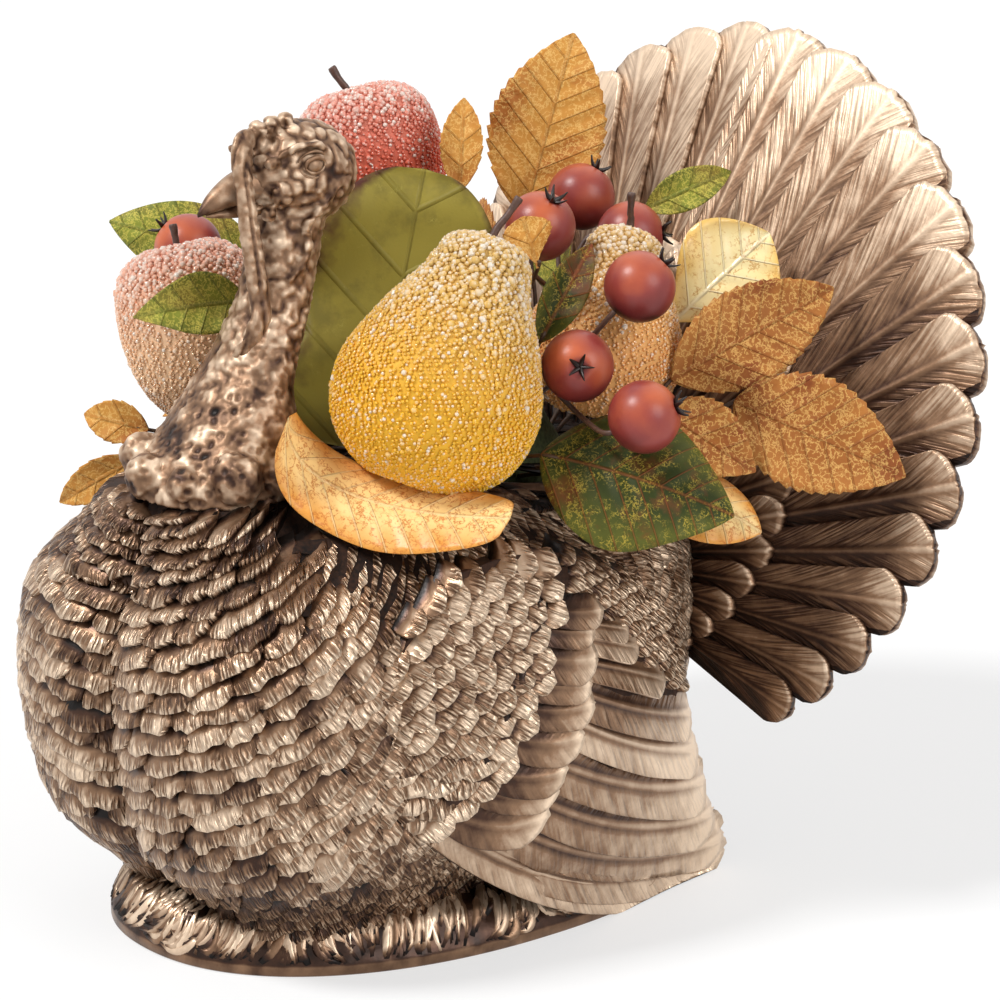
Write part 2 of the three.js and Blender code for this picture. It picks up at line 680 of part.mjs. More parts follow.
// Foam: a straight block in the opening with a mound on top; every pick and wire has its own hole
function foamRing(rx, ry, z) {
  return Array.from({ length: 32 }, (_, i) => {
    const a = (i / 32) * Math.PI * 2;
    return V(rx * Math.cos(a), OPENING_Y + ry * Math.sin(a), z);
  });
}
const foamHalfWidth = OPENING_HALF_WIDTH - FOAM_CLEARANCE;
const foamHalfLength = OPENING_HALF_LENGTH - FOAM_CLEARANCE;
const foamRings = [
  foamRing(foamHalfWidth, foamHalfLength, BASE_HEIGHT + GAP),
  foamRing(foamHalfWidth, foamHalfLength, FOAM_SHOULDER),
];
for (const a of [0.02, 0.4, 0.8, 1.2, 1.5]) {
  foamRings.push(foamRing(
    FOAM_MOUND.x * Math.cos(a),
    FOAM_MOUND.y * Math.cos(a),
    FOAM_SHOULDER + FOAM_MOUND.z * Math.sin(a),
  ));
}
let foam = solid(loft(foamRings));

for (const item of fruits) {
  const axis = item.axis.clone().normalize();
  const top = item.middle.clone().addScaledVector(axis, item.top * item.height);
  const seat = (grow) => top.clone().addScaledVector(axis, -STEM_SEAT - grow);
  const knee = top.clone().addScaledVector(axis, 2);
  const end = top.clone().add(item.stem);
  const towards = item.pick.clone().sub(item.middle).normalize();
  const pickStart = (grow) => item.middle.clone().addScaledVector(towards, item.width * 0.2 - grow);
  const pickEnd = (grow) => item.pick.clone().addScaledVector(towards, grow);
  const pickHole = bar([pickStart(GAP), pickEnd(GAP)], PICK_RADIUS + GAP);
  const flesh = fruit(item.profile, item.width, item.height, item.middle, item.axis)
    .subtract(bar([seat(GAP), knee, end], STEM_RADIUS + GAP, 6, 4))
    .subtract(pickHole);
  foam = foam.subtract(pickHole);
  arrangement.add(
    mesh(item.name, flesh, item.colour, 0.5),
    mesh(`${item.name}_stem`, bar([seat(0), knee, end], STEM_RADIUS, 6, 4), WIRE),
    mesh(`${item.name}_pick`, bar([pickStart(0), pickEnd(0)], PICK_RADIUS), WOOD),
  );
}

for (const spray of sprays) {
  const away = spray.fork.clone().sub(spray.root).normalize();
  const stem = (grow) => bar(
    [spray.root.clone().addScaledVector(away, -grow), spray.fork.clone().addScaledVector(away, 1)],
    WIRE_RADIUS + grow,
    4,
  );
  let wire = stem(0);
  foam = foam.subtract(stem(GAP));
  for (const number of spray.berries) {
    const berry = berries[number];
    const eye = berry.eye.clone().normalize();
    const foot = berry.middle.clone().addScaledVector(eye, -BERRY_RADIUS * 0.55);
    const knee = berry.middle.clone().addScaledVector(eye, -BERRY_RADIUS * 1.3);
    const branch = (grow) => bar(
      [spray.fork, knee, foot.clone().addScaledVector(eye, grow)],
      WIRE_RADIUS + grow,
      4,
      4,
    );
    wire = wire.add(branch(0));
    const turn = new THREE.Quaternion().setFromUnitVectors(V(0, 1, 0), eye);
    const ball = solid(new THREE.SphereGeometry(BERRY_RADIUS, 12, 7)
      .applyQuaternion(turn)
      .translate(berry.middle.x, berry.middle.y, berry.middle.z));
    const crown = solid(new THREE.ConeGeometry(BERRY_RADIUS * 0.28, BERRY_RADIUS * 0.5, 6)
      .rotateX(Math.PI)
      .applyQuaternion(turn)
      .translate(
        berry.middle.x + eye.x * BERRY_RADIUS * 1.12,
        berry.middle.y + eye.y * BERRY_RADIUS * 1.12,
        berry.middle.z + eye.z * BERRY_RADIUS * 1.12,
      ));
    arrangement.add(mesh(berry.name, ball.add(crown).subtract(branch(GAP)), "#b8483a", 0.35));
  }
  arrangement.add(mesh(spray.name, wire, WIRE));
}

for (const leaf of leaves) {
  foam = foam.subtract(leafWire(leaf, GAP));
  arrangement.add(mesh(leaf.name, leafBlade(leaf).add(leafWire(leaf, 0)), leaf.colour, 0.5));
}
arrangement.add(mesh("foam_block", foam, FOAM, 0.95));

const turkey = new THREE.Group();
turkey.name = "thanksgiving_turkey";
turkey.add(figure, arrangement);

export default turkey;
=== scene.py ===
"""Looks of a cast turkey figure whose open back holds sugared fruit, leaves and berries."""

import bpy
import numpy as np
from bpy.props import FloatProperty, FloatVectorProperty, IntProperty, PointerProperty
from mathutils import Matrix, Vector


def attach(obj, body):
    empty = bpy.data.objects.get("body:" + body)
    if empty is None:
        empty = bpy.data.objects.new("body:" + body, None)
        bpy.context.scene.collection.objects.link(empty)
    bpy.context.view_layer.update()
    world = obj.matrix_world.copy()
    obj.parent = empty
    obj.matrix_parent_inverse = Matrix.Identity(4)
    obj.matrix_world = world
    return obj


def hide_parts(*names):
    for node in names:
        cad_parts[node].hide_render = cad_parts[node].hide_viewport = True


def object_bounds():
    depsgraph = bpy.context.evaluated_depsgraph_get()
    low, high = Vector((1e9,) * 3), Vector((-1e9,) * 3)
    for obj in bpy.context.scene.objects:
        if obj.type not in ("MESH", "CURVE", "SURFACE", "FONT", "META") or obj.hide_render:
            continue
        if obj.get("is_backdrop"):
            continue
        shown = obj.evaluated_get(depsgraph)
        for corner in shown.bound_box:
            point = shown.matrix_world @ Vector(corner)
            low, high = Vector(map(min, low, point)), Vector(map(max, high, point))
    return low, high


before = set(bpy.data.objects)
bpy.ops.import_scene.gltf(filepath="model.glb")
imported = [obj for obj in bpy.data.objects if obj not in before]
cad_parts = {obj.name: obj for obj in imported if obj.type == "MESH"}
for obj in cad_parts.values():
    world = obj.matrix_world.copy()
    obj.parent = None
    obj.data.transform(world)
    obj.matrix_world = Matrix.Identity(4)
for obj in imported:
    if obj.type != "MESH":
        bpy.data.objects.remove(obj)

bl_info = {
    "name": "Thanksgiving turkey figure",
    "version": (1, 0, 0),
    "blender": (4, 5, 0),
    "location": "3D View > Sidebar > Turkey",
    "description": "Feathers, fruit, leaves and berries over the solids of a cast turkey",
    "category": "Object",
}

CAD_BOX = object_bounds()
MM = 0.001  # shapes are worked out in millimetres and stored in metres


def linear(code):
    """An sRGB hex colour as linear red, green and blue."""
    c = np.array([int(code[i:i + 2], 16) for i in (1, 3, 5)]) / 255
    return tuple(np.where(c <= 0.04045, c / 12.92, ((c + 0.055) / 1.055) ** 2.4).tolist())


# Sizes and colours

def length(name, text, mm):
    """A size on the panel, given in millimetres."""
    return FloatProperty(name=name, description=text, default=mm * MM, min=0, unit="LENGTH")


def colour(name, text, code):
    """A colour on the panel, given as an sRGB hex value."""
    return FloatVectorProperty(name=name, description=text, default=linear(code), size=3,
                               subtype="COLOR", min=0, max=1)


class TurkeySizes(bpy.types.PropertyGroup):
    breast_feather: length("Breast feather", "Width of a feather low on the breast", 20)
    breast_row: length("Breast row", "Step from one row of breast feathers to the next", 6.9)
    shoulder_feather: length("Shoulder feather", "Width of a scale on the shoulder of the wing", 13)
    rump_feather: length("Rump feather", "Width of a scale above the flight feathers", 8.5)
    grass_blade: length("Grass blade", "Width of a tuft of grass on the base", 3.8)
    bead: length("Sugar bead", "Diameter of a clear bead on the fruit", 1.8)
    leaf_sheet: length("Leaf sheet", "Thickness of a fabric leaf", 0.7)
    berry: length("Berry", "Radius of a berry", 12.3)
    grass_count: IntProperty(name="Grass tufts", description="How many tufts grow on the base",
                             default=760, min=0)


class TurkeyColours(bpy.types.PropertyGroup):
    recess: colour("Recess", "Dark wash left in the hollows of the bronze", "#120a07")
    shade: colour("Shade", "Bronze on the lower slopes", "#42291b")
    bronze: colour("Bronze", "Bronze on open surfaces", "#8a6a50")
    rubbed: colour("Rubbed edge", "Bronze rubbed bright on edges", "#ecd2b6")
    pear: colour("Yellow pear", "Paint under the sugar of the large pear", "#ffc42e")
    amber: colour("Orange pear", "Paint under the sugar of the small pear", "#ffbc70")
    apple: colour("Red apple", "Paint under the sugar of the top apple", "#ea6a4c")
    blush: colour("Pink apple", "Paint under the sugar of the left apple", "#ffd4a8")
    russet: colour("Rear apple", "Paint under the sugar of the rear apple", "#e58c56")
    cheek: colour("Apple cheek", "Pink on the upper side of the apples", "#f4ad98")
    frost: colour("Frosted neck", "Pale paint near the stem of the pears", "#e4bd74")
    berry: colour("Berry", "Lacquer on the shaded side of a berry", "#5e2022")
    berry_light: colour("Berry blush", "Lacquer on the sunny side of a berry", "#c9663c")
    stem: colour("Stem", "Stems and wires", "#4d3226")


# Arithmetic of surfaces

def unit(v):
    """Vectors brought to length 1."""
    return v / np.maximum(np.linalg.norm(v, axis=-1, keepdims=True), 1e-9)


def smooth(x, low, high):
    """Eases from 0 at low to 1 at high."""
    t = np.clip((np.asarray(x, float) - low) / (high - low), 0, 1)
    return t * t * (3 - 2 * t)


def summed(steps):
    """Running total that starts at 0."""
    return np.concatenate([[0], np.cumsum(steps)])


def length_along(path):
    """Length along a path up to each of its points."""
    return summed(np.linalg.norm(np.diff(path, axis=0), axis=1))


def sideways(axis):
    """Two directions square to an axis and to each other."""
    first = unit(np.cross(np.eye(3)[np.argmin(np.abs(axis))], axis))
    return first, np.cross(axis, first)


def spline(points, at, closed=False):
    """Catmull-Rom curve: at is counted in points, and each span bends towards its neighbours."""
    p = np.asarray(points, float)
    n = len(p)
    at = np.asarray(at, float)
    span = n if closed else n - 1
    i = np.clip(np.floor(at).astype(int), 0, span - 1)
    f = (at - i)[..., None]
    pick = (lambda k: p[k % n]) if closed else (lambda k: p[np.clip(k, 0, n - 1)])
    a, b, c, d = pick(i - 1), pick(i), pick(i + 1), pick(i + 2)
    return b + 0.5 * f * (c - a + f * (2 * a - 5 * b + 4 * c - d + f * (3 * (b - c) + d - a)))


def scatter(cell, seed):
    """A fixed pseudo-random number from 0 to 1 for each lattice cell."""
    n = (cell[..., 0] * 73856093) ^ (cell[..., 1] * 19349663) ^ (cell[..., 2] * 83492791) ^ (seed * 2654435)
    n = ((n ^ (n >> 13)) * 1274126177) & 0x7FFFFFFF
    n = ((n ^ (n >> 11)) * 668265263) & 0x7FFFFFFF
    return n / 0x7FFFFFFF


CORNERS = np.array([(i, j, k) for i in (0, 1) for j in (0, 1) for k in (0, 1)])


def grain(p, size, seed=0):
    """Soft noise from 0 to 1: random values on a lattice of that size, eased between its corners."""
    q = np.asarray(p, float) / size
    cell = np.floor(q).astype(np.int64)
    f = q - cell
    f = f * f * (3 - 2 * f)
    total = 0
    for corner in CORNERS:
        share = np.prod(np.where(corner, f, 1 - f), axis=-1)
        total = total + share * scatter(cell + corner, seed)
    return total


def warts(p, size, seed=0):
    """Round bumps: 1 at one random point in each lattice cell, falling to 0 a cell away."""
    q = np.asarray(p, float) / size
    cell = np.floor(q).astype(np.int64)
    near = np.full(q.shape[:-1], 9.0)
    for step in np.array([(i, j, k) for i in (-1, 0, 1) for j in (-1, 0, 1) for k in (-1, 0, 1)]):
        at = cell + step
        spot = at + np.stack([scatter(at, seed + k) for k in (1, 2, 3)], -1)
        near = np.minimum(near, np.linalg.norm(q - spot, axis=-1))
    return np.clip(1 - near, 0, 1)


# Forms: points, faces, marks

def quads(rows, columns, ring=False):
    """Corners of the quads of a grid; a ring closes the last column onto the first."""
    i, j = np.meshgrid(np.arange(rows - 1), np.arange(columns if ring else columns - 1), indexing="ij")
    k = (j + 1) % columns
    return np.stack([i * columns + j, i * columns + k, (i + 1) * columns + k, (i + 1) * columns + j],
                    -1).reshape(-1, 4)


def skin(rings, **marks):
    """A closed skin over rings of points that turn left about the way they run, with capped ends."""
    rows, columns = rings.shape[:2]
    points = np.concatenate([rings.reshape(-1, 3), rings[[0, -1]].mean(axis=1)])
    j = np.arange(columns)
    k = (j + 1) % columns
    last = (rows - 1) * columns
    middle = np.full(columns, rows * columns)
    caps = np.concatenate([np.stack([middle, k, j], -1), np.stack([middle + 1, last + j, last + k], -1)])
    full = {key: np.concatenate([m.reshape(rows * columns, *m.shape[2:]), m[[0, -1]].mean(axis=1)])
            for key, m in marks.items()}
    return points, [quads(rows, columns, True), caps], full


def rails(path):
    """Tangent of a path and two directions across it that make a right-handed set."""
    along = unit(np.gradient(path, axis=0))
    away = np.eye(3)[np.argmin(np.abs(along).mean(axis=0))]
    first = unit(np.cross(away, along))
    return along, first, np.cross(along, first)


def tube(path, radius, sides=10, flat=1.0, **marks):
    """A round (or flattened) section carried along a path."""
    _, first, second = rails(path)
    a = np.linspace(0, 2 * np.pi, sides, endpoint=False)[None, :, None]
    r = np.broadcast_to(np.asarray(radius, float), (len(path),))[:, None, None]
    rings = path[:, None] + r * (np.cos(a) * first[:, None] + flat * np.sin(a) * second[:, None])
    wide = {key: np.broadcast_to(np.asarray(m, float).reshape(-1, 1), rings.shape[:2]).copy()
            for key, m in marks.items()}
    return skin(rings, **wide)


def ball(middle, radii, rows=24, columns=32, axis=(0, 0, 1)):
    """A ball with its poles on an axis: rings of sine radius at cosine heights."""
    a = np.linspace(np.pi - 0.02, 0.02, rows)
    axis = unit(np.asarray(axis, float))
    path = np.asarray(middle, float) + np.cos(a)[:, None] * axis * radii[2]
    first = unit(np.cross((1.0, 0, 0) if abs(axis[1]) > 0.9 else (0, 1.0, 0), axis))
    second = np.cross(axis, first)
    t = np.linspace(0, 2 * np.pi, columns, endpoint=False)[None, :, None]
    rings = path[:, None] + np.sin(a)[:, None, None] * (
        radii[0] * np.cos(t) * first + radii[1] * np.sin(t) * second)
    return skin(rings)


def join(forms):
    """One form out of several, with the faces renumbered and missing marks left at zero."""
    kinds = {key: m.shape[1:] for form in forms for key, m in form[2].items()}
    start = np.cumsum([0] + [len(form[0]) for form in forms])
    faces = [f + s for form, s in zip(forms, start) for f in form[1]]
    marks = {key: np.concatenate([form[2].get(key, np.zeros((len(form[0]),) + tail)) for form in forms])
             for key, tail in kinds.items()}
    return np.concatenate([form[0] for form in forms]), faces, marks


def into_mesh(name, form):
    """A mesh from a form, with its marks kept as point attributes."""
    points, faces, marks = form
    mesh = bpy.data.meshes.new(name)
    sizes = np.concatenate([np.full(len(f), f.shape[1]) for f in faces])
    corners = np.concatenate([f.ravel() for f in faces]).astype(np.int32)
    mesh.vertices.add(len(points))
    mesh.vertices.foreach_set("co", (np.asarray(points) * MM).astype(np.float32).ravel())
    mesh.loops.add(len(corners))
    mesh.loops.foreach_set("vertex_index", corners)
    mesh.polygons.add(len(sizes))
    mesh.polygons.foreach_set("loop_start", (np.cumsum(sizes) - sizes).astype(np.int32))
    mesh.polygons.foreach_set("use_smooth", np.ones(len(sizes), dtype=bool))
    for key, values in marks.items():
        vector = values.ndim > 1
        made = mesh.attributes.new(key, "FLOAT_VECTOR" if vector else "FLOAT", "POINT")
        made.data.foreach_set("vector" if vector else "value", values.astype(np.float32).ravel())
    mesh.update(calc_edges=True)
    mesh.validate()
    return mesh


def piece(name, form, material, body, slot, *nodes):
    """Puts a form into the scene as a piece that rides on a body and may stand for CAD nodes."""
    mesh = form if isinstance(form, bpy.types.Mesh) else into_mesh(name, form)
    mesh.materials.append(material)
    made = bpy.data.objects.new(name, mesh)
    bpy.context.scene.collection.objects.link(made)
    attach(made, body)
    if nodes:
        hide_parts(*nodes)
    return made


def dress(node_name, material):
    """Gives a CAD node that stays in view its material."""
    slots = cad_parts[node_name].data.materials
    slots.clear()
    slots.append(material)


# Feathers

def plumage(chart, root, tip, width, lift=(-1.2, 2.0), rounding=0.5, sag=0.0, tilt=0.0, crown=0.5,
            floor=-2.0, grid=(6, 9), taper=0.7, ragged=0.05, lumps=0.35, pleat=0.0, ridge=0.0, seed=1,
            tone=(0.1, 0.8), hidden=0.55, puff=0.3, shade=0.0, wall=-0.1, vary=0.09, across=1.0):
    """Feathers laid on a curved surface. The chart turns two lengths (u, v) into a point, and each
    feather is a grid over it: t runs from root to tip, r likewise in shares of its own column, and x from
    -1 to 1 across. The tip is round, so a column ends early by about
    rounding * width * (1 - sqrt(1 - x^2)). The height above the surface is
    low + (high - low) * rise - crown * x^2 + tilt * x, plus a quill ridge, lumps, and pleats that are
    one random height for each column and grow with t^1.5. The rise is t^1.2, and a puffed feather
    swells out of its row and rolls over at the tip. A wall drops from the rim to the floor height, and
    one face closes it below. The tone stays dark up to the share hidden of a small feather, where the
    row above ends, as dark paint in the hollow and as painted shade under that row. The rim and the
    quill are rubbed bright, the side that stands higher is painted lighter and the side under its
    neighbour darker, as painted light and shade."""
    rng = np.random.default_rng(seed)
    rows, columns = grid
    n = len(root)
    line = np.linspace(-1, 1, columns)
    line = line - 0.75 * np.sin(2 * np.pi * line) / (2 * np.pi) if ridge else np.sin(line * np.pi / 2)
    x = line[None, None, :]
    r = np.linspace(0, 1, rows)[None, :, None] ** (1.0 if ridge else 0.55)
    each = lambda v: np.broadcast_to(np.asarray(v, float), (n,))[:, None, None]
    axis = np.asarray(tip, float) - root
    size = np.linalg.norm(axis, axis=1)
    width, tilt, sag, low, high = each(width), each(tilt), each(sag), each(lift[0]), each(lift[1])
    end = 1 - rounding * width / each(size) * (1 - np.sqrt(1 - 0.97 * x ** 2))
    end = end * (1 + ragged * (rng.random((n, 1, columns)) - 0.5) * 2)
    t = r * end
    half = 0.5 * width * (taper + (1 - taper) * r ** 0.7)
    side = np.stack([-axis[:, 1], axis[:, 0]], -1) / size[:, None]
    away = half * x + sag * 4 * t * (1 - t)
    u = each(root[:, 0]) + each(axis[:, 0]) * t + each(side[:, 0]) * away
    v = each(root[:, 1]) + each(axis[:, 1]) * t + each(side[:, 1]) * away
    step = 0.4
    at = chart(u, v)
    normal = unit(np.cross(chart(u + step, v) - chart(u - step, v), chart(u, v + step) - chart(u, v - step)))
    swell = smooth(t, 0.3, 0.86) - 0.16 * smooth(t, 0.86, 1)
    rise = t ** 1.2 if ridge else puff * swell + (1 - puff) * t ** 1.2
    height = low + (high - low) * rise - crown * x ** 2 + tilt * x * np.minimum(r * 3, 1)
    height = height + lumps * (rng.random((n, rows, columns)) - 0.5)
    fold = 2 * rng.random((n, 1, columns)) - 1
    height = height + pleat * fold * t ** 1.5
    height = height + 0.3 * lumps * rng.standard_normal((n, 1, 1))
    height = height + ridge * np.exp(-(x / 0.07) ** 2) * (1 - 0.7 * r)
    top = (at + normal * height[..., None]).reshape(n, -1, 3)
    corner = np.arange(rows * columns).reshape(rows, columns)
    rim = np.concatenate([corner[:, 0], corner[-1, 1:], corner[-2::-1, -1], corner[0, -2:0:-1]])
    low_rim = (at + normal * floor).reshape(n, -1, 3)[:, rim]
    points = np.concatenate([top, low_rim], axis=1)
    first = np.arange(n)[:, None, None] * points.shape[1]
    i = np.arange(len(rim))
    j = (i + 1) % len(rim)
    base = rows * columns
    drop = np.stack([rim[i], base + i, base + j, rim[j]], -1)
    below = (base + i[::-1])[None]
    faces = [(first + f[None]).reshape(-1, f.shape[1])
             for f in (quads(rows, columns)[:, ::-1], drop, below)]
    # Feathers other than quills stay dark up to the share hidden, as dark paint in the hollow and painted
    # shade under the row above; quills are darker towards the root.
    shade_to_rub = smooth(t, 0.25, 0.95) if ridge else smooth(t - each(hidden), -0.06, 0.14)
    rubbed = tone[0] + (tone[1] - tone[0]) * shade_to_rub + 0.34 * smooth(t, 0.82, 1) - 0.18 * x ** 4
    rubbed = rubbed + each(shade) + vary * rng.standard_normal((n, 1, 1))
    if pleat:
        rubbed = rubbed + 0.16 * fold * t
    if ridge:
        rubbed = rubbed - 0.3 * np.exp(-((np.abs(x) - 0.17) / 0.06) ** 2) * (1 - 0.5 * r)
        # The quill is rubbed bright; the side that stands higher is painted lighter and the side under its
        # neighbour darker, as painted light and shade.
        rubbed = rubbed + 0.12 * np.exp(-(x / 0.08) ** 2) + 0.1 * tilt * x
    patina = np.concatenate([rubbed.reshape(n, -1), np.full((n, len(rim)), wall)], axis=1)
    along = t * each(size) + each(rng.random(n) * 2000)
    plume = np.stack(np.broadcast_arrays(half * x * across, along, t), -1).reshape(n, -1, 3)
    plume = np.concatenate([plume, plume[:, rim]], axis=1)
    return points.reshape(-1, 3), faces, {"patina": patina.ravel(), "plume": plume.reshape(-1, 3)}


# The figure's own curves

BODY_MIDDLE_Y = -40.0
BODY_BOTTOM, BODY_TOP = 16.3, 150.0
NECK_Y = -83.0
HUMP_FOOT, HUMP_RISE = 128.0, 30.0  # the hump under the neck starts here and is this high
HUMP_SIDE, HUMP_FRONT = (50, 20), (38, 8)  # half width and half depth at its foot, and their loss at its top
BLEND = 14  # power that blends the hump into the wall
GROOVE_DEPTH, GROOVE_WIDTH = 12.0, 9.0  # groove between the two lobes of the breast
ROOF_EDGE = 12.0  # rounding of the wall into the roof
# Half width, reach to the front and reach to the back, at six even heights
BODY_SECTIONS = ((61, 101, 90), (79, 125, 94), (85, 132, 97), (86, 134, 100), (80, 129, 101), (52, 108, 90))


def body_wall(angle, z):
    """The body's wall: at each height a rounded box |x/w|^n + |y/r|^n = 1, with an oval hump under the neck
    blended in and a groove down the breast. Angle 0 faces the front."""
    size = spline(BODY_SECTIONS, np.clip((z - BODY_BOTTOM) / (BODY_TOP - BODY_BOTTOM), 0, 1) * 5)
    s, c = np.sin(angle), np.cos(angle)
    n = np.where(c > 0, 3.1, 2.6)
    reach = np.where(c > 0, size[..., 1] + BODY_MIDDLE_Y, size[..., 2] - BODY_MIDDLE_Y)
    out = (np.abs(s / size[..., 0]) ** n + np.abs(c / reach) ** n + 1e-12) ** (-1 / n)
    out = out * np.sqrt(np.clip(1 - (np.maximum(z - BODY_TOP, 0) / ROOF_EDGE) ** 2, 0.01, 1))
    share = np.clip((z - HUMP_FOOT) / HUMP_RISE, 0, 1)
    rx = HUMP_SIDE[0] - HUMP_SIDE[1] * share ** 2.2
    ry = HUMP_FRONT[0] - HUMP_FRONT[1] * share ** 2.2
    gap = BODY_MIDDLE_Y - NECK_Y
    qa, qb, qc = (s / rx) ** 2 + (c / ry) ** 2, -2 * gap * c / ry ** 2, (gap / ry) ** 2 - 1
    under = qb * qb - 4 * qa * qc
    hump = np.where((under > 0) & (c > 0), (-qb + np.sqrt(np.maximum(under, 0))) / (2 * qa), 0)
    hump = hump * smooth(z, 122, 132)
    out = (out ** BLEND + hump ** BLEND) ** (1 / BLEND)
    x = out * s
    dip = np.where(c > 0, GROOVE_DEPTH * np.exp(-np.abs(x / GROOVE_WIDTH)), 0)
    dip = dip * (1 - 0.4 * smooth(z, 135, 155))
    return np.stack([x, BODY_MIDDLE_Y - out * c + dip, z], -1)


GIRTH_STEPS, GIRTH_HEIGHT = 1440, 83.0  # the girth is measured in steps at this height
GIRTH_ANGLE = np.linspace(-np.pi, np.pi, GIRTH_STEPS + 1)
GIRTH = length_along(body_wall(GIRTH_ANGLE, np.full(GIRTH_STEPS + 1, GIRTH_HEIGHT)))
GIRTH = GIRTH - GIRTH[GIRTH_STEPS // 2]
HALF_GIRTH = GIRTH[-1]


def body_chart(u, v):
    """u is measured round the body from the breast groove, v upwards from the base."""
    return body_wall(np.interp(u, GIRTH, GIRTH_ANGLE), BODY_BOTTOM + v)


# Outline of a wing seen from its side, as Y and Z
WING_OUTLINE = ((-56, 136), (-74, 102), (-67, 64), (-38, 40), (10, 22), (50, 8), (87, 5), (79, 33),
                (69, 66), (58, 104), (20, 130), (-15, 142))
WING_MIDDLE = np.array([6.0, 78.0])
WING_STAND, WING_DRAW, WING_DOME = 84.0, 18.0, 12.0  # edge from the middle plane, drawn in behind, and dome
WING_DROP = 14.0  # how far the slope past the outline falls towards the body
FLOOR_GAP = 0.5  # the lowest flight feathers end this far above the table
RIM = spline(WING_OUTLINE, np.linspace(0, len(WING_OUTLINE), 480, endpoint=False), True) - WING_MIDDLE
RIM_ANGLE = np.arctan2(RIM[:, 1], RIM[:, 0])
RIM_ORDER = np.argsort(RIM_ANGLE)


def wing_share(y, z):
    """How far a point lies from the wing's middle (0) to its outline (1)."""
    dy, dz = y - WING_MIDDLE[0], z - WING_MIDDLE[1]
    reach = np.interp(np.arctan2(dz, dy), RIM_ANGLE[RIM_ORDER], np.linalg.norm(RIM, axis=1)[RIM_ORDER],
                      period=2 * np.pi)
    return np.hypot(dy, dz) / reach


def wing_chart(side, drop=0.0):
    """The wing's outer face over the Y, Z plane: an edge line plus a dome that falls to the outline, and
    past the outline a slope that drops to the body."""
    def chart(u, v):
        y = u * side
        share = wing_share(y, v)
        edge = WING_STAND - WING_DRAW * smooth(y, -20, 90)
        dome = WING_DOME * np.clip(1 - share ** 2, 0, 1) ** 0.7
        return np.stack([side * (edge + dome - drop * smooth(share, 0.95, 1.3)), y, v], -1)
    return chart


FAN_HUB = np.array([0, 71.0, 106.0])
# Radians: lean back from upright, opening of the cone, and step from one feather to the next
FAN_LEAN, FAN_SWEEP, FAN_PITCH = 0.244, 0.25, 0.139
FAN_UP = np.array([0, np.sin(FAN_LEAN), np.cos(FAN_LEAN)])
FAN_BACK = np.array([0, np.cos(FAN_LEAN), -np.sin(FAN_LEAN)])
FAN_UNIT = 100.0  # chart lengths to one radian round the fan


def fan_chart(side):
    """The fan is a shallow cone: u is the angle round the hub, v the distance from it."""
    def chart(u, v):
        a = (side * u / FAN_UNIT)[..., None]
        out = np.sin(a) * np.array([1.0, 0, 0]) + np.cos(a) * FAN_UP
        return FAN_HUB + v[..., None] * (np.cos(FAN_SWEEP) * out + np.sin(FAN_SWEEP) * FAN_BACK)
    return chart


BASE_HALF_WIDTH, BASE_HALF_LENGTH, BASE_POWER = 79, 118, 2.2
# Length up the base's slope, with the inset from its outline and the height there
SLOPE, SLOPE_INSET, SLOPE_HEIGHT = (0, 4, 8, 14, 26), (0, 0, 1.8, 7, 18), (0, 4, 8, 15, 19)


def rounded_oval(angle, inset):
    """Outline of the base, |x/w|^n + |y/l|^n = 1, drawn in by the inset."""
    c, s = np.cos(angle), np.sin(angle)
    soft = 2 / BASE_POWER
    return np.stack([(BASE_HALF_WIDTH - inset) * np.sign(c) * np.abs(c) ** soft,
                     (BASE_HALF_LENGTH - inset) * np.sign(s) * np.abs(s) ** soft], -1)


BASE_ANGLE = np.linspace(0, 2 * np.pi, 1201)
BASE_GIRTH = length_along(rounded_oval(BASE_ANGLE, 0.0))


def base_chart(u, v):
    """u runs round the base, v up its slope and then in over the ledge to the body's foot."""
    a = np.interp(u % BASE_GIRTH[-1], BASE_GIRTH, BASE_ANGLE)
    flat = rounded_oval(a, np.interp(v, SLOPE, SLOPE_INSET))
    return np.concatenate([flat, np.interp(v, SLOPE, SLOPE_HEIGHT)[..., None]], -1)


# Materials

WASH_MM, GRIT_MM = 9, 1.4  # drift of the dark wash over the bronze, and grain of the casting
METAL_SHARE = 0.6  # share of metal flake in the bronze paint
GLASS_IOR, CLOTH_IOR = 1.5, 1.45


def add(tree, kind, wires=None, stops=None, give=0, **settings):
    """Adds one node and hands back one of its outputs, or all of them: settings are its properties, wires
    its inputs (a socket is linked, a value set) and stops the colours of a ramp."""
    made = tree.nodes.new("ShaderNode" + kind)
    for key, value in settings.items():
        setattr(made, key, value)
    for key, value in (wires or {}).items():
        if isinstance(value, bpy.types.NodeSocket):
            tree.links.new(value, made.inputs[key])
        else:
            made.inputs[key].default_value = value
    for i, (place, code) in enumerate(stops or ()):
        element = made.color_ramp.elements[i] if i < 2 else made.color_ramp.elements.new(place)
        element.position = place
        element.color = (*(linear(code) if isinstance(code, str) else code), 1)
    if give == "all" or not made.outputs:
        return made.outputs
    return made.outputs[give]


def material(name):
    """An empty material and its tree of nodes."""
    made = bpy.data.materials.new(name)
    made.use_nodes = True
    made.node_tree.nodes.clear()
    return made, made.node_tree


def per(mm):
    """Scale of a pattern whose marks are that many millimetres wide."""
    return 1 / (mm * MM)


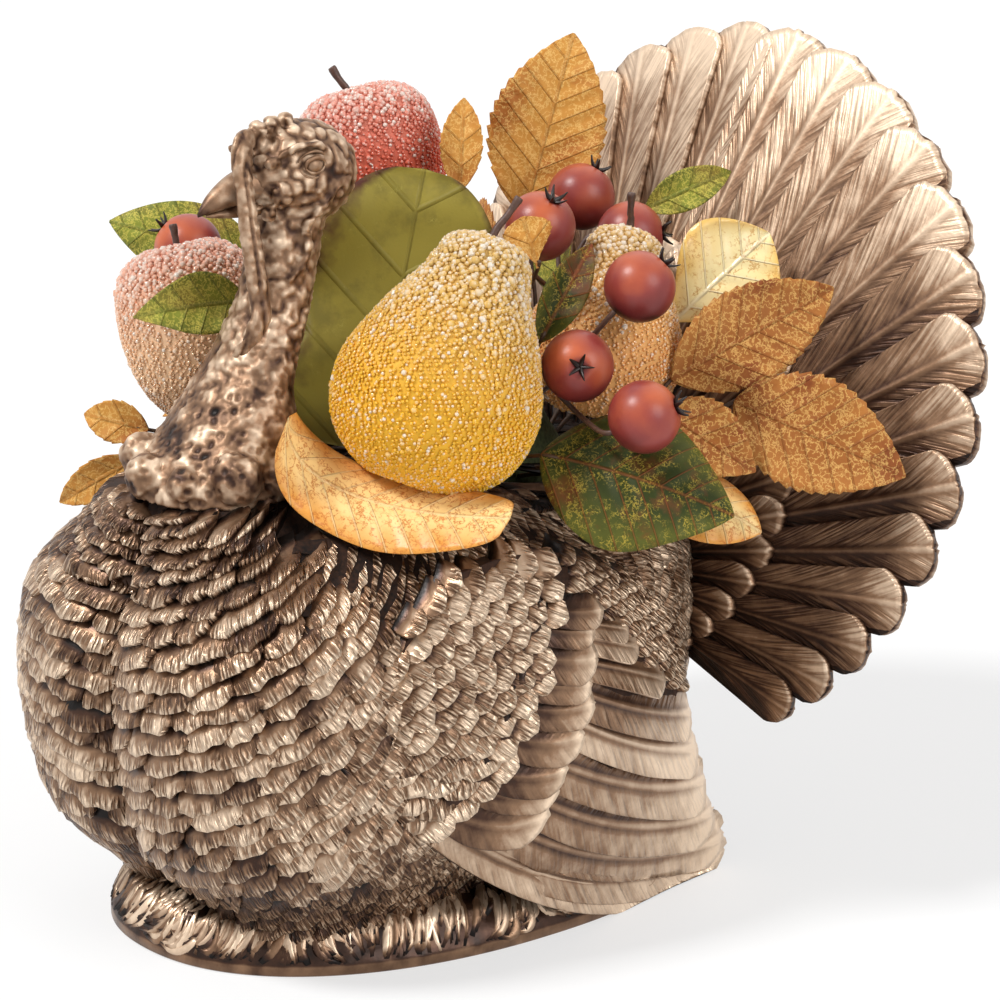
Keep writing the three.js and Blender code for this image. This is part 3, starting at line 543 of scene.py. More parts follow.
def barbs(t, spacing, slant, tipward):
    """Barbs of a feather as a height about zero: grooves spacing mm apart that leave the quill at a slant
    and fade near it, or folds that run to the tip and show only past the share tipward."""
    plume = add(t, "SeparateXYZ", {0: add(t, "Attribute", attribute_name="plume", give="Vector")}, give="all")
    across = add(t, "Math", {0: plume["X"]}, operation="ABSOLUTE")
    line, along = plume["X"], plume["Y"]
    if slant:
        line = add(t, "Math", {0: across, 1: -slant, 2: along}, operation="MULTIPLY_ADD")
        along = plume["X"]
    line = add(t, "Math", {0: line, 1: 1 / spacing}, operation="MULTIPLY")
    along = add(t, "Math", {0: along, 1: 0.22 / spacing}, operation="MULTIPLY")
    place = add(t, "CombineXYZ", {"X": line, "Y": along})
    groove = add(t, "TexNoise", {"Vector": place, "Scale": 1.0, "Detail": 2.0})
    groove = add(t, "MapRange", {"Value": groove, "From Min": 0.32, "From Max": 0.62, "To Min": -0.5,
                                 "To Max": 0.5})
    if tipward is None:
        shown = add(t, "MapRange", {"Value": across, "From Min": 0.5, "From Max": 6.0})
    else:
        shown = add(t, "MapRange", {"Value": plume["Z"], "From Min": tipward, "From Max": 0.9})
        turn = add(t, "Math", {0: line, 1: 2 * np.pi}, operation="MULTIPLY")
        turn = add(t, "Math", {0: groove, 1: 7.0, 2: turn}, operation="MULTIPLY_ADD")
        groove = add(t, "Math", {0: turn}, operation="SINE")
    return add(t, "Math", {0: groove, 1: shown}, operation="MULTIPLY")


def bronze(name, barb=None, slant=0.0, relief=0.4, contrast=0.2, tipward=None, shade_to_rub=None, dull=0.0):
    """Cast resin with a bronze paint, washed dark and rubbed back: hollows stay dark brown, edges come
    up pale gold, and the metal flake gives broad soft glints, fewer where it is dull. A mark on each point
    says how far the spot is rubbed and also holds painted light and shade; where no feather is, one even
    tone can be set instead, and the low one on the cores is painted shade between the feathers."""
    c = bpy.context.scene.turkey_colours
    made, t = material(name)
    here = add(t, "TexCoord", give="Object")
    cloud = add(t, "TexNoise", {"Vector": here, "Scale": per(WASH_MM), "Detail": 6.0, "Roughness": 0.7})
    grit = add(t, "TexNoise", {"Vector": here, "Scale": per(GRIT_MM), "Detail": 3.0})
    # The mark holds rubbing and painted light and shade; the even tone on the cores is low, as painted shade.
    if shade_to_rub is None:
        rub_and_shade = add(t, "Attribute", attribute_name="patina", give="Fac")
    else:
        rub_and_shade = add(t, "MapRange", {"Value": grit, "To Min": shade_to_rub - 0.2, "To Max": shade_to_rub + 0.2})
    tone = add(t, "Math", {0: cloud, 1: 0.45, 2: rub_and_shade}, operation="MULTIPLY_ADD")
    tone = add(t, "Math", {0: tone, 1: 0.225}, operation="SUBTRACT")
    bump = add(t, "Bump", {"Height": grit, "Distance": 0.12 * MM, "Strength": 0.7})
    if barb:
        groove = barbs(t, barb, slant, tipward)
        tone = add(t, "Math", {0: groove, 1: contrast, 2: tone}, operation="MULTIPLY_ADD")
        bump = add(t, "Bump", {"Height": groove, "Distance": relief * MM, "Normal": bump})
    paint = add(t, "ValToRGB", {"Fac": tone}, stops=(
        (0.02, tuple(c.recess)), (1.0, tuple(c.rubbed)), (0.28, tuple(c.shade)), (0.58, tuple(c.bronze))))
    gloss = add(t, "MapRange", {"Value": cloud, "To Min": 0.27 + dull, "To Max": 0.43 + dull})
    shader = add(t, "BsdfPrincipled", {"Base Color": paint, "Metallic": METAL_SHARE, "Roughness": gloss,
                                       "Normal": bump})
    add(t, "OutputMaterial", {"Surface": shader})
    return made


def plain(name, code, rough=0.5, grain_mm=2.0, relief=0.1, metallic=0.0, spread=0.35):
    """A single-coloured stock: its colour drifts with its grain, and the grain stands up a little."""
    made, t = material(name)
    here = add(t, "TexCoord", give="Object")
    noise = add(t, "TexNoise", {"Vector": here, "Scale": per(grain_mm), "Detail": 5.0})
    base = np.array(linear(code) if isinstance(code, str) else code)
    paint = add(t, "ValToRGB", {"Fac": noise}, stops=(
        (0.3, tuple(base * (1 - spread))), (0.7, tuple(np.minimum(base * (1 + spread), 1)))))
    bump = add(t, "Bump", {"Height": noise, "Distance": relief * MM})
    shader = add(t, "BsdfPrincipled", {"Base Color": paint, "Roughness": rough, "Metallic": metallic,
                                       "Normal": bump})
    add(t, "OutputMaterial", {"Surface": shader})
    return made


def sugar(name, low, high):
    """Clear glass beads glued to painted foam: each bead shows the paint through itself. Where the tint mark
    is high a bead is painted near white, as a clear bead and as painted glints and highlights, and where
    it is low it is painted darker, as a deeper bead and as painted shade round each bead. The paint turns
    from one colour at the eye of the fruit to another at its stem, and the paste between the beads is dull."""
    made, t = material(name)
    tint, ripe, paste = (
        add(t, "Attribute", attribute_name=mark, give="Fac") for mark in ("tint", "ripe", "paste"))
    paint = add(t, "Mix", {"Factor": ripe, "A": (*low, 1), "B": (*high, 1)}, give="Result", data_type="RGBA")
    # Towards white: clear beads, and painted glints and highlights.
    clear = add(t, "MapRange", {"Value": tint, "From Min": 0.5, "To Max": 0.85})
    paint = add(t, "Mix", {"Factor": clear, "A": paint, "B": (*linear("#fbf3e6"), 1)}, give="Result",
                data_type="RGBA")
    # Darker: deeper beads, and painted shade round each bead.
    deep = add(t, "MapRange", {"Value": tint, "From Max": 0.36, "To Min": 0.5})
    paint = add(t, "HueSaturation", {"Value": deep, "Color": paint})
    rough = add(t, "MapRange", {"Value": paste, "To Min": 0.05, "To Max": 0.7})
    shader = add(t, "BsdfPrincipled", {"Base Color": paint, "Roughness": rough, "IOR": GLASS_IOR,
                                       "Transmission Weight": 0.22})
    add(t, "OutputMaterial", {"Surface": shader})
    return made


def lacquer(name):
    """Berries of lacquered foam: orange above, in front and near the eye, wine red elsewhere, under a soft
    gloss. The orange above and in front is painted light on the side facing the lamps, and the dark wine
    red on the far side is painted shade. The blush mark says how far."""
    c = bpy.context.scene.turkey_colours
    made, t = material(name)
    blush = add(t, "Attribute", attribute_name="blush", give="Fac")
    here = add(t, "TexCoord", give="Object")
    cloud = add(t, "TexNoise", {"Vector": here, "Scale": per(12), "Detail": 3.0})
    mix = add(t, "Math", {0: cloud, 1: 0.5, 2: blush}, operation="MULTIPLY_ADD")
    mix = add(t, "Math", {0: mix, 1: 0.25}, operation="SUBTRACT")
    paint = add(t, "ValToRGB", {"Fac": mix}, stops=(
        (0.0, "#1e120e"), (1.0, tuple(c.berry_light)), (0.1, tuple(c.berry)), (0.55, "#8c3832")))
    fine = add(t, "TexNoise", {"Vector": here, "Scale": per(0.7)})
    bump = add(t, "Bump", {"Height": fine, "Distance": 0.03 * MM})
    shader = add(t, "BsdfPrincipled", {"Base Color": paint, "Roughness": 0.36, "IOR": GLASS_IOR,
                                       "Specular IOR Level": 0.4, "Normal": bump})
    add(t, "OutputMaterial", {"Surface": shader})
    return made


def leaf_cloth(name, field, margin, fleck, vein, fleck_mm=1.6, fleck_share=0.5, rough=0.5, rust=None,
               margin_from=0.75, margin_to=1.4, veins_at=8.5, vein_share=0.4, shine=0.2):
    """Printed polyester leaf: a field colour that turns to the margin colour, patches of a third, a crackled
    net of flecks, veins that leave the midrib at a slant, and a pressed relief along them. The blade mark
    holds mm across, mm along and the share of the way to the edge. The real net is about a millimetre
    wide, and is drawn coarser so that it shows."""
    made, t = material(name)
    blade = add(t, "Attribute", attribute_name="blade", give="Vector")
    split = add(t, "SeparateXYZ", {0: blade}, give="all")
    here = add(t, "TexCoord", give="Object")

    def over(share, below, code):
        """The colour of a hex code laid over what is below."""
        return add(t, "Mix", {"Factor": share, "A": below, "B": (*linear(code), 1)}, give="Result",
                   data_type="RGBA")
    cloud = add(t, "TexNoise", {"Vector": here, "Scale": per(14), "Detail": 4.0})
    edge = add(t, "Math", {0: cloud, 1: 0.9, 2: split["Z"]}, operation="MULTIPLY_ADD")
    edge = add(t, "MapRange", {"Value": edge, "From Min": margin_from, "From Max": margin_to})
    paint = over(edge, (*linear(field), 1), margin)
    if rust:
        patch = add(t, "TexNoise", {"Vector": here, "Scale": per(22), "Detail": 5.0, "Roughness": 0.65})
        patch = add(t, "MapRange", {"Value": patch, "From Min": 0.5, "From Max": 0.66})
        paint = over(patch, paint, rust)
    net = add(t, "TexNoise", {"Vector": here, "Scale": 0.8 * per(fleck_mm), "Detail": 4.0, "Roughness": 0.62})
    net = add(t, "Math", {0: net, 1: 0.5}, operation="SUBTRACT")
    net = add(t, "Math", {0: net}, operation="ABSOLUTE")
    net = add(t, "MapRange", {"Value": net, "From Max": 0.045, "To Min": 1.0, "To Max": 0.0})
    spread = add(t, "TexNoise", {"Vector": here, "Scale": per(6), "Detail": 4.0, "Roughness": 0.7})
    start = 0.62 - 0.3 * fleck_share
    where = add(t, "MapRange", {"Value": spread, "From Min": start, "From Max": start + 0.13})
    net = add(t, "Math", {0: net, 1: where}, operation="MULTIPLY")
    paint = over(net, paint, fleck)
    across = add(t, "Math", {0: split["X"]}, operation="ABSOLUTE")
    midrib = add(t, "MapRange", {"Value": across, "From Min": 0.25, "From Max": 0.9, "To Min": 1.0,
                                 "To Max": 0.0})
    slanted = add(t, "Math", {0: across, 1: -0.75, 2: split["Y"]}, operation="MULTIPLY_ADD")
    wave = add(t, "Math", {0: slanted, 1: 2 * np.pi / veins_at}, operation="MULTIPLY")
    wave = add(t, "Math", {0: wave}, operation="COSINE")
    side = add(t, "MapRange", {"Value": wave, "From Min": 0.93})
    veins = add(t, "Math", {0: midrib, 1: side}, operation="MAXIMUM")
    tinted = add(t, "Math", {0: veins, 1: vein_share}, operation="MULTIPLY")
    paint = over(tinted, paint, vein)
    press = add(t, "Math", {0: wave, 1: 0.4, 2: veins}, operation="MULTIPLY_ADD")
    bump = add(t, "Bump", {"Height": press, "Distance": 0.6 * MM, "Strength": 0.8})
    weave = add(t, "TexNoise", {"Vector": here, "Scale": per(0.9)})
    bump = add(t, "Bump", {"Height": weave, "Distance": 0.06 * MM, "Normal": bump})
    shader = add(t, "BsdfPrincipled", {"Base Color": paint, "Roughness": rough, "IOR": CLOTH_IOR,
                                       "Specular IOR Level": shine, "Normal": bump})
    add(t, "OutputMaterial", {"Surface": shader})
    return made


# Operators

class TURKEY_OT_base(bpy.types.Operator):
    """Oval base with a plain band and tufts of grass up its slope"""
    bl_idname = "turkey.base"
    bl_label = "Base and grass"

    def execute(self, context):
        sizes = context.scene.turkey_sizes
        rng = np.random.default_rng(11)
        v = np.concatenate([[0, 0.6, 3.4, 4.2], np.linspace(5, 25, 16)])
        u = np.linspace(0, BASE_GIRTH[-1], 420, endpoint=False)
        uu, vv = np.meshgrid(u, v)
        wall = base_chart(uu, vv)
        rough = smooth(vv, 4.2, 7) * (grain(wall, 5, 3) - 0.5) * 2.2
        wall[..., 2] += np.where(vv > 8, rough, 0)
        wall[..., :2] *= 1 + (rough / 110 * (vv <= 8))[..., None]
        wall[0, :, :2] *= 0.992
        tone = 0.2 + 0.3 * (grain(wall, 4, 5) - 0.5) - 0.15 * smooth(vv, 16, 24) + 0.25 * (vv < 4)
        core = skin(wall, patina=tone, plume=np.stack([uu, vv, 0 * uu], -1))
        n = sizes.grass_count
        root = np.stack([rng.random(n) * BASE_GIRTH[-1], 4.4 + 9 * rng.random(n) ** 1.5], -1)
        swirl = grain(np.stack([root[:, 0] / 22, root[:, 1] * 0, root[:, 1] * 0], -1), 1, 6)
        lean = np.radians(90 + 110 * (swirl - 0.5) + 14 * rng.standard_normal(n))
        size = 11 + 8 * rng.random(n)
        tip = root + size[:, None] * np.stack([np.cos(lean), np.sin(lean)], -1)
        tip[:, 1] = np.clip(tip[:, 1], 5, 26)
        bend = 9 * (swirl - 0.5) + 1.6 * rng.standard_normal(n)
        grass = plumage(base_chart, root, tip, sizes.grass_blade / MM * (0.7 + 0.6 * rng.random(n)),
                        lift=(0.5, 1.4), rounding=1.5, sag=bend, crown=1.3, floor=-1.2, grid=(9, 5),
                        taper=0.7, ragged=0.02, lumps=0.2, seed=12, tone=(0.02, 0.74), hidden=0.1, vary=0.16)
        paint = bronze("bronze_paint_grass")
        piece("grass_base", join([core, grass]), paint, "figure", "bronze_resin", "base")
        return {"FINISHED"}


# Slope of the feather rows in degrees, at lengths round the body from the groove to the middle of the rear
ROW_PLACE, ROW_SLOPE = (0, 40, 90, 140, 230, 300), (3, 12, 32, 50, 56, 38, 8)
BREAST_REACH, BREAST_TOP, FLANK_TOP = 74, 141.5, 133.0  # rows go this high in front, and lower past the reach
ROW_LIMIT = 142  # no root lies above this
BREAST_LENGTH = 16.5  # length of a feather low on the breast
ROOF_UNIT, NAPE_UNIT = 46, 34  # chart lengths to one radian round the opening and round the nape


class TURKEY_OT_body(bpy.types.Operator):
    """Rows of overlapping feathers round the body, parted at the breast groove"""
    bl_idname = "turkey.body"
    bl_label = "Body feathers"

    def execute(self, context):
        rng = np.random.default_rng(21)
        u = np.linspace(0, HALF_GIRTH, 600)
        turn = np.radians(np.interp(u, (*ROW_PLACE, HALF_GIRTH), ROW_SLOPE))
        place, scale, span = self.rows(context.scene.turkey_sizes, rng, u, turn)
        paint = bronze("bronze_paint_breast", 2.5, relief=0.55, contrast=0.22, tipward=0.66)
        for side, name in ((1, "left"), (-1, "right")):
            top = np.where(np.abs(place[:, 0]) < BREAST_REACH, BREAST_TOP, FLANK_TOP)
            spot = body_chart(side * place[:, 0], np.clip(place[:, 1], 0, ROW_LIMIT))
            covered = (np.abs(spot[:, 0]) > 58) & (wing_share(spot[:, 1], spot[:, 2]) < 0.78)
            keep = (place[:, 1] > -3) & (place[:, 1] < top) & (place[:, 0] < HALF_GIRTH - 3) & ~covered
            at = place[keep]
            out = 2.6 * smooth(-spot[keep, 1], 74, 100) * smooth(at[:, 0], 4, 15)
            # Painted shade: darker in the breast groove, low near the base and high up under the neck's hump.
            wash_and_shade = -0.16 * smooth(at[:, 0], 15, 5) - 0.26 * smooth(at[:, 1], 50, 4)
            wash_and_shade = wash_and_shade - 0.2 * smooth(at[:, 1], 96, 134)
            angle = np.interp(at[:, 0], u, turn) + np.radians(5) * rng.standard_normal(len(at))
            way = np.stack([side * np.sin(angle), -np.cos(angle)], -1)
            top_share = at[:, 1] / top[keep]
            at = at * (side, 1)
            size = BREAST_LENGTH * scale[keep]
            root, tip = at - way * (0.6 * size)[:, None], at + way * (0.4 * size)[:, None]
            root[:, 1] = np.minimum(root[:, 1], ROW_LIMIT)
            form = plumage(body_chart, root, tip, span[keep], lift=(out - 3.2, out + 2.2), rounding=0.24,
                           crown=0.8, tilt=0.5 * side, floor=-3.8, grid=(6, 11), taper=0.85, ragged=0.06,
                           lumps=0.5, pleat=0.6, seed=22 + side, tone=(-0.14, 0.65), puff=0.4, shade=wash_and_shade,
                           vary=0.1, hidden=0.53 - 0.44 * smooth(top_share, 0.88, 0.95))
            piece("body_feathers_" + name, form, paint, "figure", "bronze_resin")
        self.rim(paint)
        # The core shows only in gaps between the feathers, such as down the breast groove, and is painted
        # dark there as shade.
        dress("body", bronze("bronze_paint_core", shade_to_rub=0.12, dull=0.4))
        return {"FINISHED"}

    def rows(self, sizes, rng, u, turn):
        """Place, scale and width of the feathers of one side: rows start at the breast groove, one below the
        other, and climb to the rear at the slope turn; those near the neck are smaller."""
        rise = summed(np.tan(turn[1:]) * np.diff(u))
        run = summed(np.diff(u) / np.cos(turn[1:]))
        places, scales, spans = [], [], []
        level, row = 143.0, 0
        while level > -rise[-1] - 10:
            scale = 0.62 + 0.38 * float(smooth(level, 140, 92))
            wide = sizes.breast_feather / MM * scale
            pitch = 0.76 * sizes.breast_feather / MM * scale
            s = np.arange(pitch * (0.55 + 0.3 * (row % 2)), run[-1], pitch)
            s = s + rng.uniform(-0.12, 0.12, len(s)) * pitch
            at = np.interp(s, run, u)
            span = wide * rng.uniform(0.75, 1.3, len(s))
            span[0] = 2 * at[0] - 1.6
            spans.append(span)
            places.append(np.stack([at, level + np.interp(at, u, rise) + rng.uniform(-0.9, 0.9, len(s))], -1))
            scales.append(np.full(len(s), scale))
            level -= sizes.breast_row / MM * scale
            row += 1
        place = np.concatenate(places)
        small = 1 - 0.08 * smooth(place[:, 0], 190, 250)
        return place, np.concatenate(scales) * small, np.concatenate(spans) * small

    def rim(self, paint):
        """Small feathers on the roof round the opening, and on the back of the neck's hump."""
        def roof(u, v):
            """An oval ring round the opening, v outwards."""
            a = u / ROOF_UNIT
            return np.stack([(42 + v) * np.sin(a), 26 - (50 + v) * np.cos(a), 150.2 - 0.02 * v ** 2], -1)

        def nape(u, v):
            """The back of the hump, v downwards."""
            a = u / NAPE_UNIT
            spread = np.interp(v, (0, 10, 20, 30), (30, 33, 39, 47))
            return np.stack([spread * np.sin(a), NECK_Y - 0.85 * spread * np.cos(a), 158 - 0.9 * v], -1)
        a, b = np.meshgrid(np.arange(0, 2 * np.pi * ROOF_UNIT, 8.5), (1.5, 6.5))
        root = np.stack([a.ravel() + 4 * (b.ravel() > 3), b.ravel()], -1)
        roof_rows = plumage(roof, root, root + (0, 9.5), 11.0, lift=(0.3, 2.0), rounding=0.4,
                            floor=-1.5, seed=25, tone=(0, 0.5))
        a, b = np.meshgrid(np.arange(NAPE_UNIT * 1.5, NAPE_UNIT * 4.8, 8.0), (1, 6, 11, 16, 21))
        root = np.stack([a.ravel() + 4 * (b.ravel() % 2), b.ravel()], -1)
        nape_rows = plumage(nape, root, root + (0, 10), 11.0, lift=(-0.5, 2.2), rounding=0.4,
                            floor=-2, seed=26, tone=(0, 0.5))
        flip = lambda form: (form[0], [f[:, ::-1] for f in form[1]], form[2])
        piece("roof_feathers", join([flip(roof_rows), flip(nape_rows)]), paint, "figure", "bronze_resin")


# Quill lines on a wing: root and tip as Y and Z, then the sag at mid-length and the width, all in mm
FLIGHT = (
    ((3, 116), (25, 108), 0, 11), ((3, 111), (30, 100.5), 0, 13), ((-1, 104), (47, 84), 0.5, 15),
    ((-5, 95), (69, 64), -1.7, 20), ((-10, 87), (72, 50), -3, 21), ((-18, 74), (77.5, 36.5), -4.2, 23),
    ((-27, 64), (81, 24), -7.3, 23), ((-34, 54), (88, 12.5), -9, 22), ((-38, 46), (89, 6.5), -10.5, 21),
    ((-54, 57), (82, 3), -13, 22))
COVERTS = (
    ((-19, 126), (7.5, 119), -1, 12), ((-22, 120), (2.5, 114), -1, 12), ((-25, 111), (2.5, 104.5), -1, 17),
    ((-29, 103), (-1, 97), -1, 13), ((-32, 95.5), (0, 90), -2, 15), ((-36, 87), (-5, 80), -3, 17),
    ((-43, 76), (-12, 69.5), -3, 15), ((-47, 70), (-15, 63.5), -3, 13), ((-56, 64), (-17.5, 54.5), -5, 17))
# Rear limit of the shoulder scales: Y at heights Z; lower limit of the rump scales: Z at places Y
SHOULDER_BACK = (50, 62, 65, 78, 88, 98, 110, 128, 142), (-66, -50, -39, -32, -26, -22, -16, -11, -11)
RUMP_FOOT = (4, 16, 25, 32, 45, 57, 75, 90), (124, 117, 109, 99, 90, 78, 72, 68)
SHOULDER_ROW, RUMP_ROW = 6.0, 4.4  # step from one row of scales to the next


class TURKEY_OT_wings(bpy.types.Operator):
    """Shoulder scales, coverts and long flight feathers on both wings"""
    bl_idname = "turkey.wings"
    bl_label = "Wings"

    def execute(self, context):
        scale_paint = bronze("bronze_paint_shoulder", 2.4, relief=0.5, contrast=0.26, tipward=0.5)
        quill_paint = bronze("bronze_paint_quill", 3.4, slant=0.85, relief=0.6, contrast=0.16)
        # The wing's core shows mainly at its edge by the breast, and is painted dark and dull there as shade
        # in the hollow.
        core_paint = bronze("bronze_paint_wing", shade_to_rub=0.2, dull=0.4)
        for side, name in ((1, "left"), (-1, "right")):
            long = self.row(FLIGHT, side, lift=(0.4, 1.6), tilt=-side * 2.2, crown=0.3, floor=-4,
                            grid=(36, 15), ragged=0.012, lumps=0.16, ridge=0.7, seed=31, tone=(0.56, 0.79))
            cover = self.row(COVERTS, side, lift=(1.6, 4.6), tilt=-side * 1.8, crown=0.4, floor=-3,
                             grid=(18, 13), ragged=0.016, lumps=0.2, ridge=0.6, seed=32, tone=(0.26, 0.68))
            scales = join([self.shoulder(context, side), self.rump(context, side)])
            piece("wing_scales_" + name, scales, scale_paint, "figure", "bronze_resin")
            piece("wing_quills_" + name, join([long, cover]), quill_paint, "figure", "bronze_resin")
            dress(name + "_wing", core_paint)
        return {"FINISHED"}

    def lay(self, side, drop, root, tip, width, **form):
        """Feathers on one wing, with their places given for the left one."""
        turned = np.array((side, 1.0))
        return plumage(wing_chart(side, drop), root * turned, tip * turned, width, **form)

    def row(self, table, side, **form):
        """Single feathers along the quill lines of a table."""
        root, tip, sag, width = (np.array(column, float) for column in zip(*table))
        points, faces, marks = self.lay(side, 0.0, root, tip, width, sag=sag * side, taper=0.85, vary=0.05,
                                        **form)
        points[:, 2] = np.maximum(points[:, 2], FLOOR_GAP)
        return points, faces, marks

    def shoulder(self, context, side):
        """Rows of scales in front of the coverts, small and slanted above, broad and hanging below. Those
        next to the coverts are crumpled and rubbed bright, and those on the front edge have short roots."""
        wide = context.scene.turkey_sizes.shoulder_feather / MM
        a, b = np.meshgrid(np.arange(-80, 80, 0.72 * wide), np.arange(-20, 150, SHOULDER_ROW))
        a = a + 0.36 * wide * (np.round(b / SHOULDER_ROW) % 2)
        slope = np.radians(-52)
        way, over = np.array((np.cos(slope), np.sin(slope))), np.array((-np.sin(slope), np.cos(slope)))
        at = np.array((-90.0, 130.0)) + b.ravel()[:, None] * way + a.ravel()[:, None] * over
        line = np.interp(at[:, 1], *SHOULDER_BACK)
        keep = (wing_share(at[:, 0], at[:, 1]) < 1.03) & (at[:, 0] < line - 1)
        at, band = at[keep], smooth(at[keep, 0], line[keep] - 11, line[keep] - 4)
        low = smooth(at[:, 1], 100, 66) * (1 - band)
        outer = smooth(wing_share(at[:, 0], at[:, 1]), 0.9, 1.0) * smooth(at[:, 1], 84, 104)
        aim = np.radians(-38 - 40 * low)
        way = np.stack([np.cos(aim), np.sin(aim)], -1)
        rng = np.random.default_rng(34)
        width = wide * rng.uniform(0.9, 1.35, len(at)) * (1 + 0.5 * low - 0.3 * band)
        root = at - (8.5 - 6 * outer)[:, None] * way
        # The outermost scales are a little darker, as painted shade in the hollow by the breast.
        return self.lay(side, WING_DROP, root, at + 5.0 * way, width,
                        lift=(-2.8 + 2 * band + 1.8 * outer, 3.2 + 2.4 * band), rounding=0.4, crown=0.7,
                        tilt=-side * 0.7, floor=-3.6, taper=0.9, lumps=0.45, pleat=0.6, seed=33,
                        tone=(-0.08, 0.68), hidden=0.54 - 0.5 * outer, puff=0.2,
                        shade=0.2 * band - 0.04 * outer, vary=0.08)

    def rump(self, context, side):
        """Small scales that cover the roots of the upper flight feathers."""
        wide = context.scene.turkey_sizes.rump_feather / MM
        a, b = np.meshgrid(np.arange(0, 100, 0.75 * wide), np.arange(60, 150, RUMP_ROW))
        a = a + 0.37 * wide * (np.round(b / RUMP_ROW) % 2)
        at = np.stack([a.ravel(), b.ravel()], -1)
        edge = np.interp(at[:, 0], *RUMP_FOOT)
        reach = np.where(at[:, 1] > 116, 1.04, 1.0)
        at = at[(wing_share(at[:, 0], at[:, 1]) < reach) & (at[:, 1] > edge)]
        way = np.array((np.cos(np.radians(-62)), np.sin(np.radians(-62))))
        width = wide * np.random.default_rng(35).uniform(0.8, 1.3, len(at))
        return self.lay(side, WING_DROP, at - 6 * way, at + 4 * way, width, lift=(-2.2, 2.8), rounding=0.45,
                        crown=0.8, floor=-3, taper=0.85, ragged=0.04, lumps=0.4, pleat=0.4, seed=36,
                        tone=(0, 0.66), puff=0.2, vary=0.07)


FAN_FEATHERS = 28
FAN_MEAN, FAN_EXTRA = 133, 78  # length of a feather at the sides, and what the upright one has more
FAN_ROOT = 26.0  # distance of the roots from the hub
FAN_OVERLAP = 1.3  # width of a feather for each step to the next
COVERT_SHARE = 0.585  # length of the shorter row in front
BOSS_MIDDLE, BOSS_RADII = (0, 98, 112), (40, 15, 36)


class TURKEY_OT_tail(bpy.types.Operator):
    """Fan of tail feathers with a row of coverts in front and a plain boss behind"""
    bl_idname = "turkey.tail"
    bl_label = "Tail fan"

    def execute(self, context):
        angle = (np.arange(FAN_FEATHERS) - FAN_FEATHERS / 2 + 0.5) * FAN_PITCH
        reach = FAN_MEAN + FAN_EXTRA * np.cos(angle)
        wide = FAN_PITCH * FAN_UNIT * FAN_OVERLAP
        forms = []
        for side, seed in ((1, 41), (-1, 43)):
            chart = fan_chart(side)
            u = side * angle * FAN_UNIT
            root = np.stack([u, np.full(FAN_FEATHERS, FAN_ROOT)], -1)
            slant = np.where(u < 0, -side, side)
            forms.append(plumage(
                chart, root, np.stack([u, reach * 0.995], -1), wide, lift=(2.5, 2.2), tilt=1.7 * slant,
                crown=0.3, floor=-0.6, grid=(60, 17), taper=0.97, ragged=0.004, lumps=0.14, ridge=1.2,
                seed=seed, tone=(0.46, 0.58), wall=0.3, vary=0.04, across=1.9))
            if side == 1:
                forms.append(plumage(
                    chart, root, np.stack([u, reach * COVERT_SHARE], -1), wide * 1.02, lift=(5.5, 6.4),
                    rounding=0.6, tilt=1.5 * slant, crown=0.6, floor=-0.6, grid=(34, 15), taper=0.97,
                    ragged=0.012, lumps=0.25, ridge=1.0, seed=44, tone=(0.3, 0.62), wall=0.1, vary=0.03,
                    across=1.1))
        points, faces, marks = join(forms)
        # Lighter towards the top and the left: partly the fan's own paint, partly painted light where the
        # lamps fall on the fan.
        pale = smooth(points[:, 2] - 0.35 * points[:, 0], 90, 240)
        marks["patina"] = marks["patina"] - 0.22 + 0.29 * pale
        boss = ball(BOSS_MIDDLE, BOSS_RADII)
        boss[2]["patina"] = np.full(len(boss[0]), 0.3)
        paint = bronze("bronze_paint_tail", 3.0, slant=1.6, relief=0.26, contrast=0.28, dull=0.08)
        fan = join([(points, faces, marks), boss])
        piece("tail_feathers", fan, paint, "figure", "bronze_resin", "tail_fan")
        return {"FINISHED"}


NECK_RINGS = (
    # y, z, half width, half depth, tilt
    (-83, 158.3, 29, 29, 0), (-82, 170.3, 28, 27, 0.1), (-77, 187.3, 22, 22, 0.35), (-66, 206.3, 17, 18, 0.4),
    (-58, 224.3, 12.5, 15, 0.3), (-54, 240.3, 11, 14.5, 0.2), (-50, 254.3, 11, 13, 0.2))
SKULL, SKULL_RADII = (0, -47, 262), (15, 21, 18)
MUZZLE, MUZZLE_RADII = (0, -61, 261.5), (9.5, 10, 11.5)
EYE = (13.6, -51, 266.8)
# Y, Z and radius of the lumps along the crown
CROWN_LUMPS = (
    (-73, 272.5, 2.8), (-69.5, 276, 3.0), (-64.5, 278.2, 3.2), (-59, 279.4, 3.0), (-53, 280.4, 2.6))
# Lines down the snood, a brow and a jaw fold
SNOOD = (
    (0, -62, 273), (2.5, -71, 275.5), (5.8, -74.6, 268), (7.9, -75.1, 258.7), (9.4, -75.1, 250.6),
    (11.2, -74.9, 242.4), (13, -74.8, 234.3), (14.5, -74.8, 226.1), (16.3, -75.6, 219), (15.8, -79.3, 212),
    (12.2, -83.8, 206))
BROW = ((9, -61, 270.5), (12.6, -56.5, 273.4), (13.6, -50, 273.6), (13, -44.5, 269.5), (13.2, -43.5, 264))
JAW = (
    (13, -40, 262), (14, -44, 256.5), (13.2, -49, 251), (12, -53.5, 246.5), (11.5, -52.5, 240),
    (11.6, -55, 233.5), (10.5, -61, 228))
# Middle and radii of the lumps on each cheek
CHEEKS = (
    ((9.2, -64.5, 268.5), (2.4, 3.2, 2.2)), ((10.2, -61, 258), (3.4, 5.2, 4.4)),
    ((8.5, -66, 251.5), (3.0, 3.2, 2.8)))
